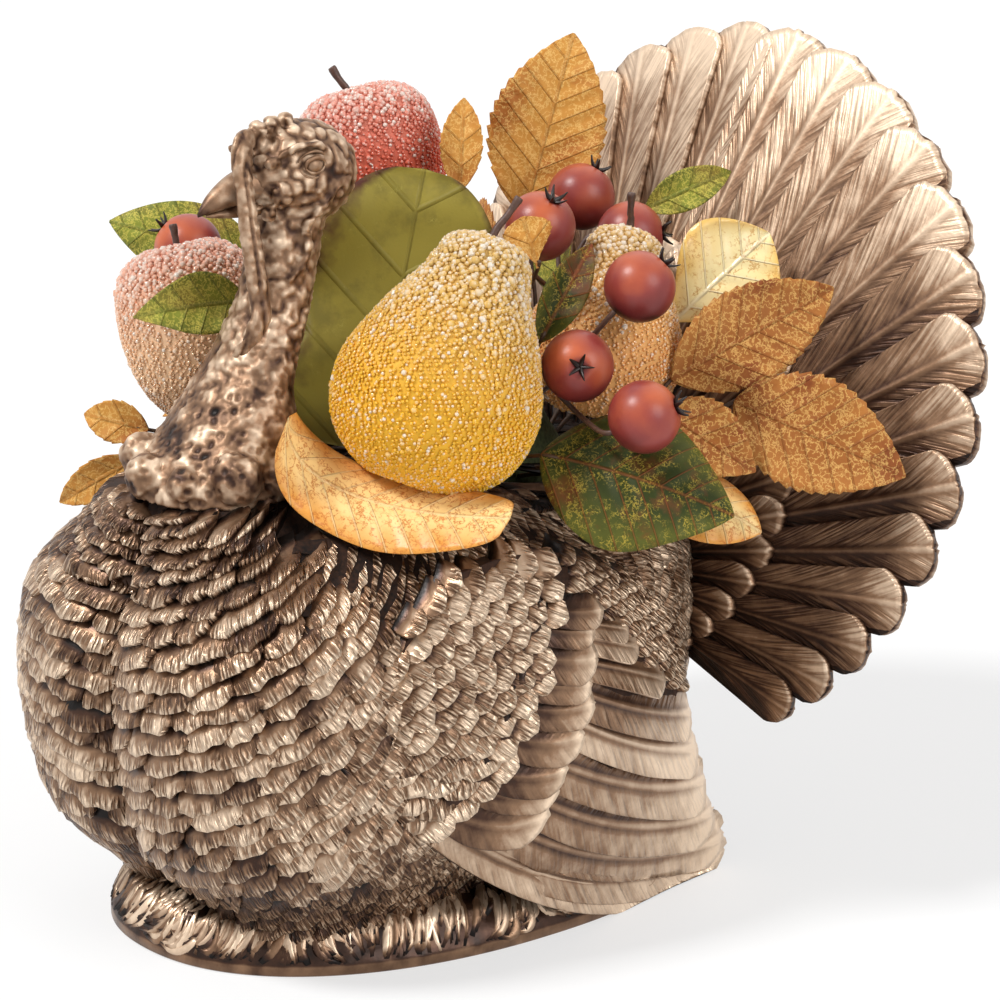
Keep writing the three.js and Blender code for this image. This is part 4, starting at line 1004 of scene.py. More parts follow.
# Y, Z, half width and half height along the two halves of the beak
BEAK_UPPER = (
    (-58, 260, 7.6, 7.4), (-66, 259.9, 7.0, 7.2), (-76, 258.2, 5.2, 5.9), (-84, 255.2, 2.9, 3.5),
    (-88.6, 252.2, 0.4, 0.8))
BEAK_LOWER = (
    (-58, 253.2, 6.8, 3.6), (-66, 252.6, 6.0, 3.0), (-75, 252, 4.2, 2.2), (-82, 251.8, 2.0, 1.3),
    (-85.5, 251.6, 0.4, 0.5))
# Lobes round the foot of the neck: how many, how far from its middle, how high and how large
FOOT_LOBES, LOBE_ROUND, LOBE_HEIGHT, LOBE_RADIUS = 9, 25.5, 166.5, 7.4
HEAD_LATTICE = 0.65  # cell of the lattice that makes the head one skin
NECK_FOOT = 157.6  # no skin hangs below this
# Start and stop in degrees, half length, half height, stand off the eye's middle and half thickness, in mm
LIDS = ((-12, 192, 3.9, 2.7, 1.5, 0.85), (180, 360, 3.9, 2.6, 1.1, 0.6), (10, 165, 5.9, 4.6, 0.2, 0.6),
        (200, 335, 5.4, 4.4, 0.1, 0.5))


class TURKEY_OT_head(bpy.types.Operator):
    """Head and neck with wattles, beak, eyes, crown lumps and the hanging snood"""
    bl_idname = "turkey.head"
    bl_label = "Head and neck"

    def execute(self, context):
        skin_paint = bronze("bronze_paint_skin", dull=0.14)
        piece("head_and_neck_skin", self.flesh(), skin_paint, "figure", "bronze_resin", "head_and_neck")
        upper = self.beak(BEAK_UPPER, 1)
        forms = [upper, self.beak(BEAK_LOWER, -1)]
        for side in (1, -1):
            x, y, z = EYE[0] * side, EYE[1], EYE[2]
            forms.append(ball((x - 0.2 * side, y, z), (2.6, 3.2, 2.6), 18, 24))
            for start, stop, reach, tall, stand, thick in LIDS:
                a = np.radians(np.linspace(start, stop, 25))
                loop = np.stack([x + side * (stand - 0.04 * (reach * np.cos(a)) ** 2), y + reach * np.cos(a),
                                 z + tall * np.sin(a)], -1)
                forms.append(tube(loop, thick * (0.35 + 0.65 * np.sin(np.linspace(0.1, np.pi - 0.1, 25))), 8))
        for form in forms:
            form[2]["patina"] = 0.6 + 0.3 * (grain(form[0], 2.2, 7) - 0.5)
        dark = smooth(-upper[0][:, 1], 83, 88)
        upper[2]["patina"] = upper[2]["patina"] - 0.3 * dark
        piece("beak_and_eyes", join(forms), bronze("bronze_paint_beak", dull=0.1), "figure", "bronze_resin")
        return {"FINISHED"}

    def beak(self, line, half):
        """Upper or lower half of the beak: ovals that shrink along a hooked line."""
        rows, sides = 30, 28
        ring = spline(line, np.linspace(0, 4, rows))
        a = np.linspace(0, 2 * np.pi, sides, endpoint=False)[None, :]
        flat = np.where(np.sin(a) * half < 0, 0.8, 1.0)
        return skin(np.stack([ring[:, 2:3] * np.cos(a), np.broadcast_to(ring[:, :1], (rows, sides)),
                              ring[:, 1:2] + ring[:, 3:4] * np.sin(a) * flat], -1))

    def lump_forms(self):
        """Skull, cheeks, crown lumps, brows, jaw folds, the lobes round the neck's foot and the snood."""
        forms = [ball(SKULL, SKULL_RADII, 40, 56), ball(MUZZLE, MUZZLE_RADII)]
        for y, z, r in CROWN_LUMPS:
            forms.append(ball((0.6, y, z), (r * 1.25, r, r), 14, 18))
        for side in (1, -1):
            mirror = np.array((side, 1, 1))
            forms.append(tube(spline(BROW * mirror, np.linspace(0, 4, 30)), 1.5, 8))
            forms.append(tube(spline(JAW * mirror, np.linspace(0, 6, 50)), np.linspace(1.4, 2.1, 50), 10))
            for middle, radii in CHEEKS:
                forms.append(ball(middle * mirror, radii, 12, 16))
        for k, a in enumerate(np.linspace(0, 2 * np.pi, FOOT_LOBES, endpoint=False) + 0.35):
            r = LOBE_RADIUS + 1.6 * np.cos(2.3 * k)
            lobe = (LOBE_ROUND * np.cos(a), NECK_Y + LOBE_ROUND * np.sin(a),
                    LOBE_HEIGHT + 1.5 * np.sin(1.7 * k))
            forms.append(ball(lobe, (r, r, r), 16, 20))
        fall = spline(SNOOD, np.linspace(0, 10, 90))
        wide = np.interp(np.linspace(0, 1, 90), (0, 0.12, 0.4, 0.7, 0.86, 1), (3.0, 4.3, 4.0, 4.3, 3.8, 1.4))
        forms.append(tube(fall, wide, 16, 0.62))
        return forms

    def mould(self):
        """Neck and lumps made one skin on a fine lattice."""
        rows = 140
        ring = spline(NECK_RINGS, np.linspace(0, 6, rows))
        a = np.linspace(0, 2 * np.pi, 72, endpoint=False)[None, :]
        along = ring[:, 3:4] * np.sin(a)
        neck = skin(np.stack([ring[:, 2:3] * np.cos(a), ring[:, :1] + along * np.cos(ring[:, 4:5]),
                              ring[:, 1:2] + along * np.sin(ring[:, 4:5])], -1))
        lumpy = into_mesh("head_lattice", join([neck] + self.lump_forms()))
        held = bpy.data.objects.new("head_lattice", lumpy)
        bpy.context.scene.collection.objects.link(held)
        lattice = held.modifiers.new("lattice", "REMESH")
        lattice.mode = "VOXEL"
        lattice.voxel_size = HEAD_LATTICE * MM
        ease = held.modifiers.new("ease", "SMOOTH")
        ease.factor, ease.iterations = 0.5, 2
        made = bpy.data.meshes.new_from_object(held.evaluated_get(bpy.context.evaluated_depsgraph_get()))
        bpy.data.objects.remove(held)
        return made

    def flesh(self):
        """The mould, creased, warted and pitted: each point moves along its normal by noise, whose creases
        run down the snood, and the eyes lie in smooth hollows."""
        made = self.mould()
        n = len(made.vertices)
        p, out = np.empty(n * 3, np.float32), np.empty(n * 3, np.float32)
        made.vertices.foreach_get("co", p)
        made.vertex_normals.foreach_get("vector", out)
        p, out = p.reshape(n, 3).astype(float) / MM, out.reshape(n, 3).astype(float)
        near = np.full(n, 99.0)
        for spot in spline(SNOOD, np.linspace(0, 10, 60)):
            near = np.minimum(near, np.linalg.norm(p - spot, axis=1))
        ribbon = smooth(near, 5.6, 3.8)
        neck_share = smooth(p[:, 2], 250, 236) * (1 - ribbon)
        foot = smooth(p[:, 2], 214, 184)

        def creases(size, seed, stretch=(1, 1, 1)):
            """Thin lines where soft noise passes its middle."""
            return np.exp(-((grain(p * stretch, size, seed) - 0.5) / 0.13) ** 2)
        lines = creases(4.4, 21) * (1 - neck_share) * (1 - ribbon) * 0.7
        lines = lines + creases(5.4, 22, (0.8, 0.8, 1.1)) * neck_share * (1 - 0.8 * foot) * 0.6
        lines = lines + creases(4.2, 23, (1.2, 1.2, 0.14)) * ribbon * 0.7
        rough = (0.6 + 0.3 * neck_share) * (1 - 0.75 * foot) * (1 - ribbon)
        lumps = (warts(p, 3.3, 4) - 0.4) * rough + (warts(p, 9, 8) - 0.4) * 1.6 * foot
        pits = (grain(p, 1.6, 6) - 0.5) * 0.7 - 0.5 * smooth(warts(p, 4.2, 12), 0.55, 0.78) * foot
        eye = np.exp(-(((p[:, 1] - EYE[1]) / 7) ** 2 + ((p[:, 2] - EYE[2]) / 6) ** 2) ** 2)
        eye = eye * (np.abs(p[:, 0]) > 6)
        move = (lumps + pits - lines) * (1 - 0.85 * eye) - 0.8 * eye
        p = p + out * move[:, None]
        p[:, 2] = np.maximum(p[:, 2], NECK_FOOT)
        made.vertices.foreach_set("co", (p * MM).astype(np.float32).ravel())
        patina = 0.69 + 0.5 * (lumps + pits) - 0.55 * lines + 0.16 * (grain(p, 9, 9) - 0.5) - 0.1 * eye
        patina = patina - 0.18 * foot
        made.attributes.new("patina", "FLOAT", "POINT").data.foreach_set("value", patina.astype(np.float32))
        made.polygons.foreach_set("use_smooth", np.ones(len(made.polygons), dtype=bool))
        made.update()
        return made


# Profiles from the eye to the stem: shares of half the width and of the height
PEAR = ((0, -0.36), (0.45, -0.36), (0.88, -0.22), (1, 0), (0.8, 0.23), (0.52, 0.42), (0.36, 0.57), (0, 0.61))
APPLE = ((0, -0.38), (0.42, -0.46), (0.84, -0.26), (1, 0.06), (0.86, 0.37), (0.42, 0.5), (0, 0.4))
FRUIT = (
    # name, profile, width, height, middle, axis, stem end, low colour, high colour, slot
    ("pear_yellow", PEAR, 71, 89, (47, -25, 192), (0.01, 0.42, 0.91), (3, 9, 13),
     "pear", "frost", "sugared_yellow"),
    ("pear_orange", PEAR, 56, 68, (37, 56, 194), (-0.07, 0.33, 0.94), (1, 0, 13),
     "amber", "frost", "sugared_orange"),
    ("apple_red", APPLE, 52, 54, (-50, 21, 249), (-0.35, -0.04, 0.94), (-8, -6, 14),
     "apple", "cheek", "sugared_red"),
    ("apple_pink", APPLE, 52, 62, (-51, -56, 198), (-0.3, -0.05, 0.95), (-4, 0, 14),
     "blush", "cheek", "sugared_pink"),
    ("apple_back", APPLE, 60, 60, (-56, 60, 186), (-0.5, 0.3, 0.81), (-6, 3, 12),
     "russet", "cheek", "sugared_back"),
)
GOLDEN = np.pi * (3 - np.sqrt(5))
PHI = (1 + np.sqrt(5)) / 2
# A bead is an icosahedron
BEAD = unit(np.array([
    (-1, PHI, 0), (1, PHI, 0), (-1, -PHI, 0), (1, -PHI, 0),
    (0, -1, PHI), (0, 1, PHI), (0, -1, -PHI), (0, 1, -PHI),
    (PHI, 0, -1), (PHI, 0, 1), (-PHI, 0, -1), (-PHI, 0, 1)]))
BEAD_FACES = np.array([
    (0, 11, 5), (0, 5, 1), (0, 1, 7), (0, 7, 10), (0, 10, 11),
    (1, 5, 9), (5, 11, 4), (11, 10, 2), (10, 7, 6), (7, 1, 8),
    (3, 9, 4), (3, 4, 2), (3, 2, 6), (3, 6, 8), (3, 8, 9),
    (4, 9, 5), (2, 4, 11), (6, 2, 10), (8, 6, 7), (9, 8, 1)])


class TURKEY_OT_fruit(bpy.types.Operator):
    """Two pears and three apples with their coats of clear beads, and their stems"""
    bl_idname = "turkey.fruit"
    bl_label = "Sugared fruit"

    def execute(self, context):
        colours = context.scene.turkey_colours
        bark = plain("painted_wire_stem", tuple(colours.stem), 0.45, 1.5, 0.15)
        for number, (name, profile, width, height, middle, axis, stem, low, high, slot) in enumerate(FRUIT):
            paint = sugar("glass_beads_" + name, tuple(getattr(colours, low)), tuple(getattr(colours, high)))
            middle, up = np.array(middle, float), unit(np.array(axis, float))
            form = self.coat(context, profile, width, height, middle, up, 60 + number)
            piece(name + "_sugar", form, paint, "arrangement", slot, name)
            top = middle + up * profile[-1][1] * height
            end = top + np.array(stem)
            path = spline((top - 6 * up, top + 2 * up, 0.4 * top + 0.6 * end, end), np.linspace(0, 3, 26))
            thick = np.interp(np.linspace(0, 1, 26), (0, 0.3, 0.75, 0.93, 1), (1.9, 1.35, 1.2, 1.7, 1.4))
            twig = tube(path, thick, 12)
            twig = (twig[0] + 0.35 * (grain(twig[0], 1.6, 2)[:, None] - 0.5), twig[1], twig[2])
            piece(name + "_twig", twig, bark, "arrangement", "stem", name + "_stem")
        return {"FINISHED"}

    def coat(self, context, profile, width, height, middle, axis, seed):
        """A turned body under beads set at golden-angle steps with equal shares of its area, then jittered.
        Those on the upper part are larger, stand further out and look clearer; a few are painted near white
        as glints, and each bead has a painted highlight on its top and painted shade round its foot."""
        rng = np.random.default_rng(seed)
        first, second = sideways(axis)
        line = spline(profile, np.linspace(0, len(profile) - 1, 160)) * (0.5 * width, height)
        line[:, 0] = np.maximum(line[:, 0], 0.01)

        def turned(r, h, a):
            """Points at the radius r and the height h, turned by the angle a."""
            across = np.cos(a)[..., None] * first + np.sin(a)[..., None] * second
            return middle + h[..., None] * axis + r[..., None] * across
        ripeness = lambda h: 0.85 * smooth(h, -0.15 * height, 0.6 * height)
        rows = line[::3]
        a, _ = np.meshgrid(np.linspace(0, 2 * np.pi, 56, endpoint=False), rows[:, 0])
        r, h = np.broadcast_to(rows[:, :1] * 0.985, a.shape), np.broadcast_to(rows[:, 1:], a.shape)
        under = skin(turned(r, h, a), tint=0.3 + 0.1 * rng.random(a.shape), ripe=ripeness(h),
                     paste=np.ones(a.shape))
        bead = context.scene.turkey_sizes.bead / MM
        band = np.linalg.norm(np.diff(line, axis=0), axis=1) * np.pi * (line[1:, 0] + line[:-1, 0])
        area = summed(band)
        n = int(area[-1] / (0.8 * bead * bead))
        share = (np.arange(n) + 0.5 + rng.uniform(-0.4, 0.4, n)) / n * area[-1]
        r, h = np.interp(share, area, line[:, 0]), np.interp(share, area, line[:, 1])
        turn = np.arange(n) * GOLDEN + rng.uniform(-0.6, 0.6, n) * bead / np.maximum(r, bead)
        spot = turned(r, h, turn)
        out = unit(spot - turned(r * 0, h * 0.7, turn))
        upper = smooth(h, 0.02 * height, 0.5 * height)
        size = bead * 0.5 * rng.uniform(0.65, 1.25, n) * (0.8 + 0.6 * upper + 0.5 * (rng.random(n) > 0.96))
        c, s = np.cos(turn * 7)[:, None], np.sin(turn * 7)[:, None]
        shape = np.stack([BEAD[:, 0] * c - BEAD[:, 1] * s, BEAD[:, 0] * s + BEAD[:, 1] * c,
                          np.broadcast_to(BEAD[:, 2], (n, len(BEAD)))], -1)
        sunk = (0.4 * upper - 0.3) * size
        points = (spot + out * sunk[:, None])[:, None] + shape * size[:, None, None]
        faces = (np.arange(n)[:, None, None] * len(BEAD) + BEAD_FACES[None]).reshape(-1, 3)
        # A few beads are painted near white as glints, more of them on the upper part.
        tint = 0.24 + 0.36 * rng.random(n) + 0.16 * upper + 0.45 * (rng.random(n) > 0.93 - 0.05 * upper)
        # Painted highlight on the top of each bead and painted shade round its foot.
        pole = np.clip((shape * out[:, None]).sum(axis=-1), 0, 1)
        lens = tint[:, None] + 0.34 * pole ** 3 - (0.12 + 0.2 * upper)[:, None] * (1 - pole)
        marks = {"tint": np.clip(lens, 0, 1).ravel(), "ripe": np.repeat(ripeness(h), len(BEAD))}
        return join([under, (points.reshape(-1, 3), [faces], marks)])


# Middle of a berry and the way its eye looks
BERRIES = tuple((np.array(middle, float), unit(np.array(eye, float))) for middle, eye in (
    ((26, 36, 237), (0.5, 0.1, 0.86)), ((-14, 88, 235), (0.2, 0.5, 0.84)), ((17, 85, 226), (0.66, 0.74, 0.1)),
    ((73, 41, 223), (0.35, 0.62, 0.7)), ((68, 18, 198), (0.78, -0.57, 0.2)), ((99, 21, 186), (0.6, 0.5, 0.3)),
    ((-88, -34, 220), (-0.6, -0.5, 0.6)), ((-86, 22, 225), (-0.8, 0.1, 0.6)),
    ((-99, 38, 209), (-0.8, 0.4, 0.3)),
))
# Root of a spray in the foam, and the fork where its three berries part
SPRAYS = (((3, 40, 150), (6, 62, 205)), ((8, 10, 152), (46, 24, 186)), ((-8, 10, 150), (-56, -10, 194)))
CALYX = ((0.6, 0), (2.2, 1), (3.6, 2.4), (4.6, 3.9))  # a calyx point, out from the eye and up from it


class TURKEY_OT_berries(bpy.types.Operator):
    """Nine lacquered berries with dark calyx points, on three wire sprays"""
    bl_idname = "turkey.berries"
    bl_label = "Berries"

    def execute(self, context):
        radius = context.scene.turkey_sizes.berry / MM
        paint = lacquer("lacquered_berry")
        wire = plain("paper_wrapped_wire", tuple(context.scene.turkey_colours.stem), 0.5, 1.2, 0.1)
        rng = np.random.default_rng(71)
        for k, (middle, eye) in enumerate(BERRIES):
            fruit = ball(middle, (radius, radius, radius * 0.985), 40, 52, eye)
            high = (fruit[0] - middle) @ eye / radius
            # Painted light: orange on the side facing the lamps above and in front, and painted shade, dark
            # wine red, on the far side.
            side = unit(fruit[0] - middle) @ unit(np.array((0.2, -0.5, 0.8)))
            blush = 0.42 + 0.3 * side + 0.16 * high + 0.4 * (grain(fruit[0], 9, k) - 0.5)
            dent = np.exp(-((1 - high) / 0.035) ** 2)
            points = fruit[0] - eye * (1.3 * dent)[:, None]
            forms = [(points, fruit[1], {"blush": np.clip(blush - 0.5 * dent, 0.06, 1)})]
            first, second = sideways(eye)
            for a in np.linspace(0, 2 * np.pi, 5, endpoint=False) + rng.uniform(0, 6):
                out = np.cos(a) * first + np.sin(a) * second
                top = middle + eye * (radius - 1.2)
                rib = [top + far * out + up * eye for far, up in CALYX]
                path = spline(rib, np.linspace(0, 3, 12))
                point = tube(path, np.linspace(1.25, 0.25, 12), 7, 0.6)
                forms.append((point[0], point[1], {"blush": np.full(len(point[0]), -0.2)}))
            node = "berry_%d" % (k + 1)
            piece(node + "_lacquer", join(forms), paint, "arrangement", "berry", node)
        for k, (root, fork) in enumerate(np.array(SPRAYS, float)):
            forms = [tube(np.linspace(root, fork + unit(fork - root), 8), 0.9, 8)]
            for middle, eye in BERRIES[3 * k:3 * k + 3]:
                path = (fork, middle - eye * radius * 1.3, middle - eye * radius * 0.55)
                path = spline(path, np.linspace(0, 2, 22))
                forms.append(tube(path, np.linspace(0.85, 1.05, 22), 8))
            node = "berry_spray_%d" % (k + 1)
            piece(node + "_wire", join(forms), wire, "arrangement", "wire", node)
        return {"FINISHED"}


VIEW = (0.75, -0.6, 0.27)  # towards the photograph's camera


def leaf(name, foot, tip, width, bow, cup, root, cloth, way=None, face=VIEW, widest=0.44, blunt=0.8, teeth=0,
         curl=1, heel=0, ripple=0.035, hold=0.0, bend_at=0.5):
    """One leaf: its blade from foot to tip, how it bows (most at the share bend_at) and cups, and the way
    of its wire to the foam from the share hold of its midrib. It is widest at the share widest, and a
    small blunt gives full ends. Its tip rolls back by curl, its edge waves by ripple of the width, and
    heel is the half width that it keeps at its foot."""
    foot, tip, root, face = (np.array(spot, float) for spot in (foot, tip, root, face))
    return dict(name=name, foot=foot, tip=tip, width=width, bow=bow, cup=cup, root=root, cloth=cloth, way=way,
                face=face, widest=widest, blunt=blunt, teeth=teeth, curl=curl, heel=heel, ripple=ripple,
                hold=hold, bend_at=bend_at)


LEAVES = (
    leaf("olive", (2, -17, 177), (-6, 10, 256), 68, -6, 7, (0, 6, 158), "olive",
         widest=0.5, blunt=0.4, curl=5, heel=39, ripple=0.06),
    leaf("tall", (-43, 85, 224), (-46, 111, 289), 43, 4, 4, (-7, 44, 148), "ochre",
         (-22, 73, 188), teeth=15, curl=2),
    leaf("slim", (-9, 28, 245), (-19, 38, 276), 15, 3, 4, (0, 25, 164), "ochre", teeth=9),
    leaf("left_high", (-91, -1, 210), (-126, -43, 225), 30, 4, -3, (-10, 22, 158), "moss", curl=2),
    leaf("left_low", (-29, -50, 213), (-30, -94, 214), 22, 3, 3, (-4, -4, 158), "moss",
         face=(0.85, 0.1, 0.4), curl=2),
    leaf("left_rust", (-48, -79, 168), (-68, -93, 172), 15, 2, 2, (-12, -2, 150), "ochre", teeth=7),
    leaf("left_droop", (-47, -84, 159), (-70, -103, 141), 14, 3, 2, (-17, 4, 153), "ochre", teeth=7),
    leaf("cream", (37.5, -80, 190), (91, -29.5, 158.5), 37, -21, -3, (8, 2, 152), "cream",
         (22, -41, 164), (0.4, -0.25, 0.88), blunt=0.24, curl=0, hold=0.35, bend_at=0.32),
    leaf("big", (68, 2, 170), (121, 42, 153), 52, 5, -4, (14, 16, 148), "deep",
         face=(0.55, -0.5, 0.67), curl=0),
    leaf("blunt", (72, 36, 157), (111, 64, 141), 30, 4, -3, (16, 26, 146), "cream",
         face=(0.5, -0.3, 0.8), widest=0.6, curl=0),
    leaf("gold", (36, 88, 197), (52, 120, 228), 40, 4, 4, (4, 50, 146), "pale_gold",
         (12, 78, 174), widest=0.6, curl=0),
    leaf("pale", (3, 104, 231), (17, 134, 244), 15, 4, 2, (-1, 53, 144), "moss", (0, 84, 185), curl=4),
    leaf("rust_1", (66, 62, 186), (88, 118, 215), 34, 4, 3, (14, 34, 146), "rust",
         (53, 40, 159), teeth=15, curl=2),
    leaf("rust_2", (74, 50, 179), (103, 68, 160), 26, 3, 2, (16, 22, 150), "rust", (56, 36, 160), teeth=11),
    leaf("rust_3", (84, 75, 180), (134, 109, 158), 40, 4, 3, (12, 42, 144), "rust",
         (62, 56, 160), teeth=15, curl=2),
    leaf("dark", (50, 16, 203), (48, 41, 234), 15, 3, 4, (6, 26, 158), "deep"),
    leaf("fan", (43, 21, 227), (36, 20, 244), 17, 1, 2, (5, 16, 160), "ochre",
         (24, 24, 200), widest=0.7, teeth=9, curl=0),
    leaf("back_1", (-64, 16, 184), (-116, 4, 172), 44, 5, -4, (-14, 16, 146), "deep",
         face=(-0.5, -0.2, 0.84)),
    leaf("back_2", (-74, 94, 197), (-112, 110, 208), 36, 4, 3, (-10, 52, 142), "rust",
         (-44, 97, 174), (-0.3, -0.8, 0.5), teeth=13, curl=2),
    leaf("back_3", (-66, -14, 164), (-118, -24, 152), 46, 6, -4, (-15, 10, 142), "ochre",
         face=(-0.3, -0.2, 0.93), teeth=13),
    leaf("back_4", (-40, 100, 192), (-62, 124, 236), 34, 4, 3, (-5, 54, 140), "moss",
         face=(-0.2, -0.9, 0.35)),
)
LEAF_SLOTS = {"olive": "leaf_green", "moss": "leaf_green", "deep": "leaf_green", "cream": "leaf_gold",
              "pale_gold": "leaf_gold", "ochre": "leaf_rust", "rust": "leaf_rust"}
WIRE_DEPTH = 1.3  # the wire lies this far behind the face of its leaf


class TURKEY_OT_leaves(bpy.types.Operator):
    """Fabric leaves on wires: smooth green and gold ones, toothed rust ones"""
    bl_idname = "turkey.leaves"
    bl_label = "Leaves"

    def execute(self, context):
        cloth = {
            "olive": leaf_cloth(
                "printed_leaf_olive", "#948638", "#4e2a22", "#a89c4a", "#544c20", 1.6, 0.1, 0.5,
                margin_from=1.2, margin_to=1.42, rust="#7c7030", veins_at=23, vein_share=0.2),
            "moss": leaf_cloth(
                "printed_leaf_moss", "#8a9038", "#6f7430", "#d2c45c", "#4e5428", 1.5, 1.1, 0.55,
                rust="#94803c"),
            "deep": leaf_cloth(
                "printed_leaf_deep_green", "#2e3612", "#565822", "#b09a3e", "#a2502f", 1.4, 0.55, 0.5,
                rust="#6e3a20", vein_share=0.32),
            "cream": leaf_cloth(
                "printed_leaf_cream_gold", "#f8d490", "#e09a44", "#c2702c", "#f6dca6", 2.6, 0.8, 0.36,
                shine=0.4),
            "pale_gold": leaf_cloth(
                "printed_leaf_pale_gold", "#fbe8ac", "#edc26a", "#d09a50", "#fdf2d2", 3.4, 0.6, 0.26,
                shine=0.6),
            "ochre": leaf_cloth(
                "printed_leaf_ochre", "#cc9042", "#c4863c", "#e6bc70", "#9a5c2a", 1.9, 1.0, 0.55,
                rust="#b06c30", vein_share=0.28),
            "rust": leaf_cloth(
                "printed_leaf_rust", "#9a5e2c", "#b07238", "#d4a660", "#82401f", 2.2, 1.2, 0.55,
                rust="#864824", vein_share=0.28),
        }
        wires = []
        for number, item in enumerate(LEAVES):
            form, midrib = self.blade(context, item, number)
            piece("leaf_%s_blade" % item["name"], form, cloth[item["cloth"]], "arrangement",
                  LEAF_SLOTS[item["cloth"]], "leaf_" + item["name"])
            ahead = unit(item["tip"] - item["foot"])
            bend = (item["foot"] + item["root"]) / 2 - 4 * ahead
            if item["way"]:
                bend = np.array(item["way"], float)
            start = [midrib(item["hold"])] if item["hold"] else [midrib(0.12), midrib(0.0)]
            path = start + [bend, item["root"]]
            path = spline(path, np.linspace(0, len(path) - 1, 40))
            wires.append(tube(path, np.interp(np.linspace(0, 1, 40), (0, 0.25, 1), (0.35, 0.7, 0.9)), 7))
        paper = plain("leaf_wire_paper", "#4a3320", 0.6, 1.2, 0.1)
        piece("leaf_wires", join(wires), paper, "arrangement", "wire")
        return {"FINISHED"}

    def blade(self, context, item, number):
        """A closed sheet. The midrib runs from foot to tip and bows; half the width at s is
        width/2 * sin(pi * s^lean)^blunt, with saw teeth; a leaf with a heel keeps that half width at the foot
        and runs on a little below it. The margins rise with x^2, and waves lift the edge."""
        foot, width, bow = item["foot"], item["width"], item["bow"]
        axis = item["tip"] - foot
        across = unit(np.cross(item["face"], axis))
        front = unit(np.cross(axis, across))
        power = np.log(0.5) / np.log(item["bend_at"])

        def arc(k):
            """1 at the share where the blade bows most, 0 at both ends."""
            w = np.sign(k) * np.abs(k) ** power
            return 4 * w * (1 - w)

        def midrib(k):
            """Place of the wire under the midrib, at the share k of its length."""
            return foot + axis * k + front * (bow * arc(k) - WIRE_DEPTH)
        rows, columns = 90, 15
        s = np.linspace(-0.2 if item["heel"] else 0, 1, rows)[:, None]
        x = np.linspace(1, -1, columns)[None, :]
        lean = np.log(0.5) / np.log(item["widest"])
        swell = np.maximum(np.sin(np.pi * np.maximum(s, 0) ** lean), 0) ** item["blunt"]
        half = np.maximum(0.5 * width * swell, 0.5)
        half = np.maximum(half, item["heel"] * (1 - np.maximum(s, 0)))
        if item["teeth"]:
            half = half * (1 + 0.075 * ((s * item["teeth"]) % 1 - 0.5) * smooth(s, 0.06, 0.2))
        rise = item["cup"] * x ** 2 * 2 * half / width
        wave = item["ripple"] * width * np.abs(x) ** 1.5 * np.sin(s * 9 + number + 1.5 * x)
        wave = wave * np.sin(np.pi * s)
        crease = -0.5 * np.exp(-(x * half / 0.9) ** 2)
        roll = item["curl"] * smooth(s, 0.72, 1.0) ** 2
        high = bow * arc(s) + rise + wave + crease - roll
        at = foot + axis * s[..., None] + across * (half * x)[..., None] + front * high[..., None]
        thick = context.scene.turkey_sizes.leaf_sheet / MM * 0.5
        rim = 1 - 0.6 * np.abs(x)[..., None] ** 6
        rings = np.concatenate([at + front * thick * rim, (at - front * thick * rim)[:, ::-1]], axis=1)
        mark = np.stack(np.broadcast_arrays(half * x, s * np.linalg.norm(axis), np.abs(x)), -1)
        mark = np.concatenate([mark, mark[:, ::-1]], axis=1)
        return skin(rings, blade=mark), midrib


class TURKEY_OT_holder(bpy.types.Operator):
    """Foam block, picks and pins, which keep their solids"""
    bl_idname = "turkey.holder"
    bl_label = "Foam, picks and pins"

    def execute(self, context):
        dress("foam_block", plain("dry_flower_foam", "#4a5232", 0.95, 1.4, 0.6))
        wood = plain("birch_pick", "#b08a5c", 0.7, 1.0, 0.1)
        steel = plain("steel_pin", "#9a9a98", 0.35, 0.6, 0.02, 1.0, 0.1)
        for name in (row[0] for row in FRUIT):
            dress(name + "_pick", wood)
        for name in ("neck_dowel", "tail_dowel_left", "tail_dowel_right"):
            dress(name, steel)
        return {"FINISHED"}


TARGET = np.array((0, 0.039, 0.1323))  # what the camera and the lamps look at, in metres
CAMERA_AZIMUTH, CAMERA_ELEVATION, CAMERA_AWAY = 51.25, 15.8, 1.3
CAMERA_LENS, CAMERA_SENSOR = 130.1, 36
FLOOR_HALF = 6.0  # metres
FLOOR_GLOW = 0.62  # share of plain white mixed into the floor where it is seen
ROOM_LIGHT = 0.34
LAMPS = (
    # name, place from the target, strength, spread in degrees
    ("key", (-0.2, -0.62, 0.86), 2.5, 14),
    ("fill", (0.9, 0.15, 0.5), 1.3, 35),
    ("top", (-0.3, 0.5, 0.9), 0.5, 60),
)


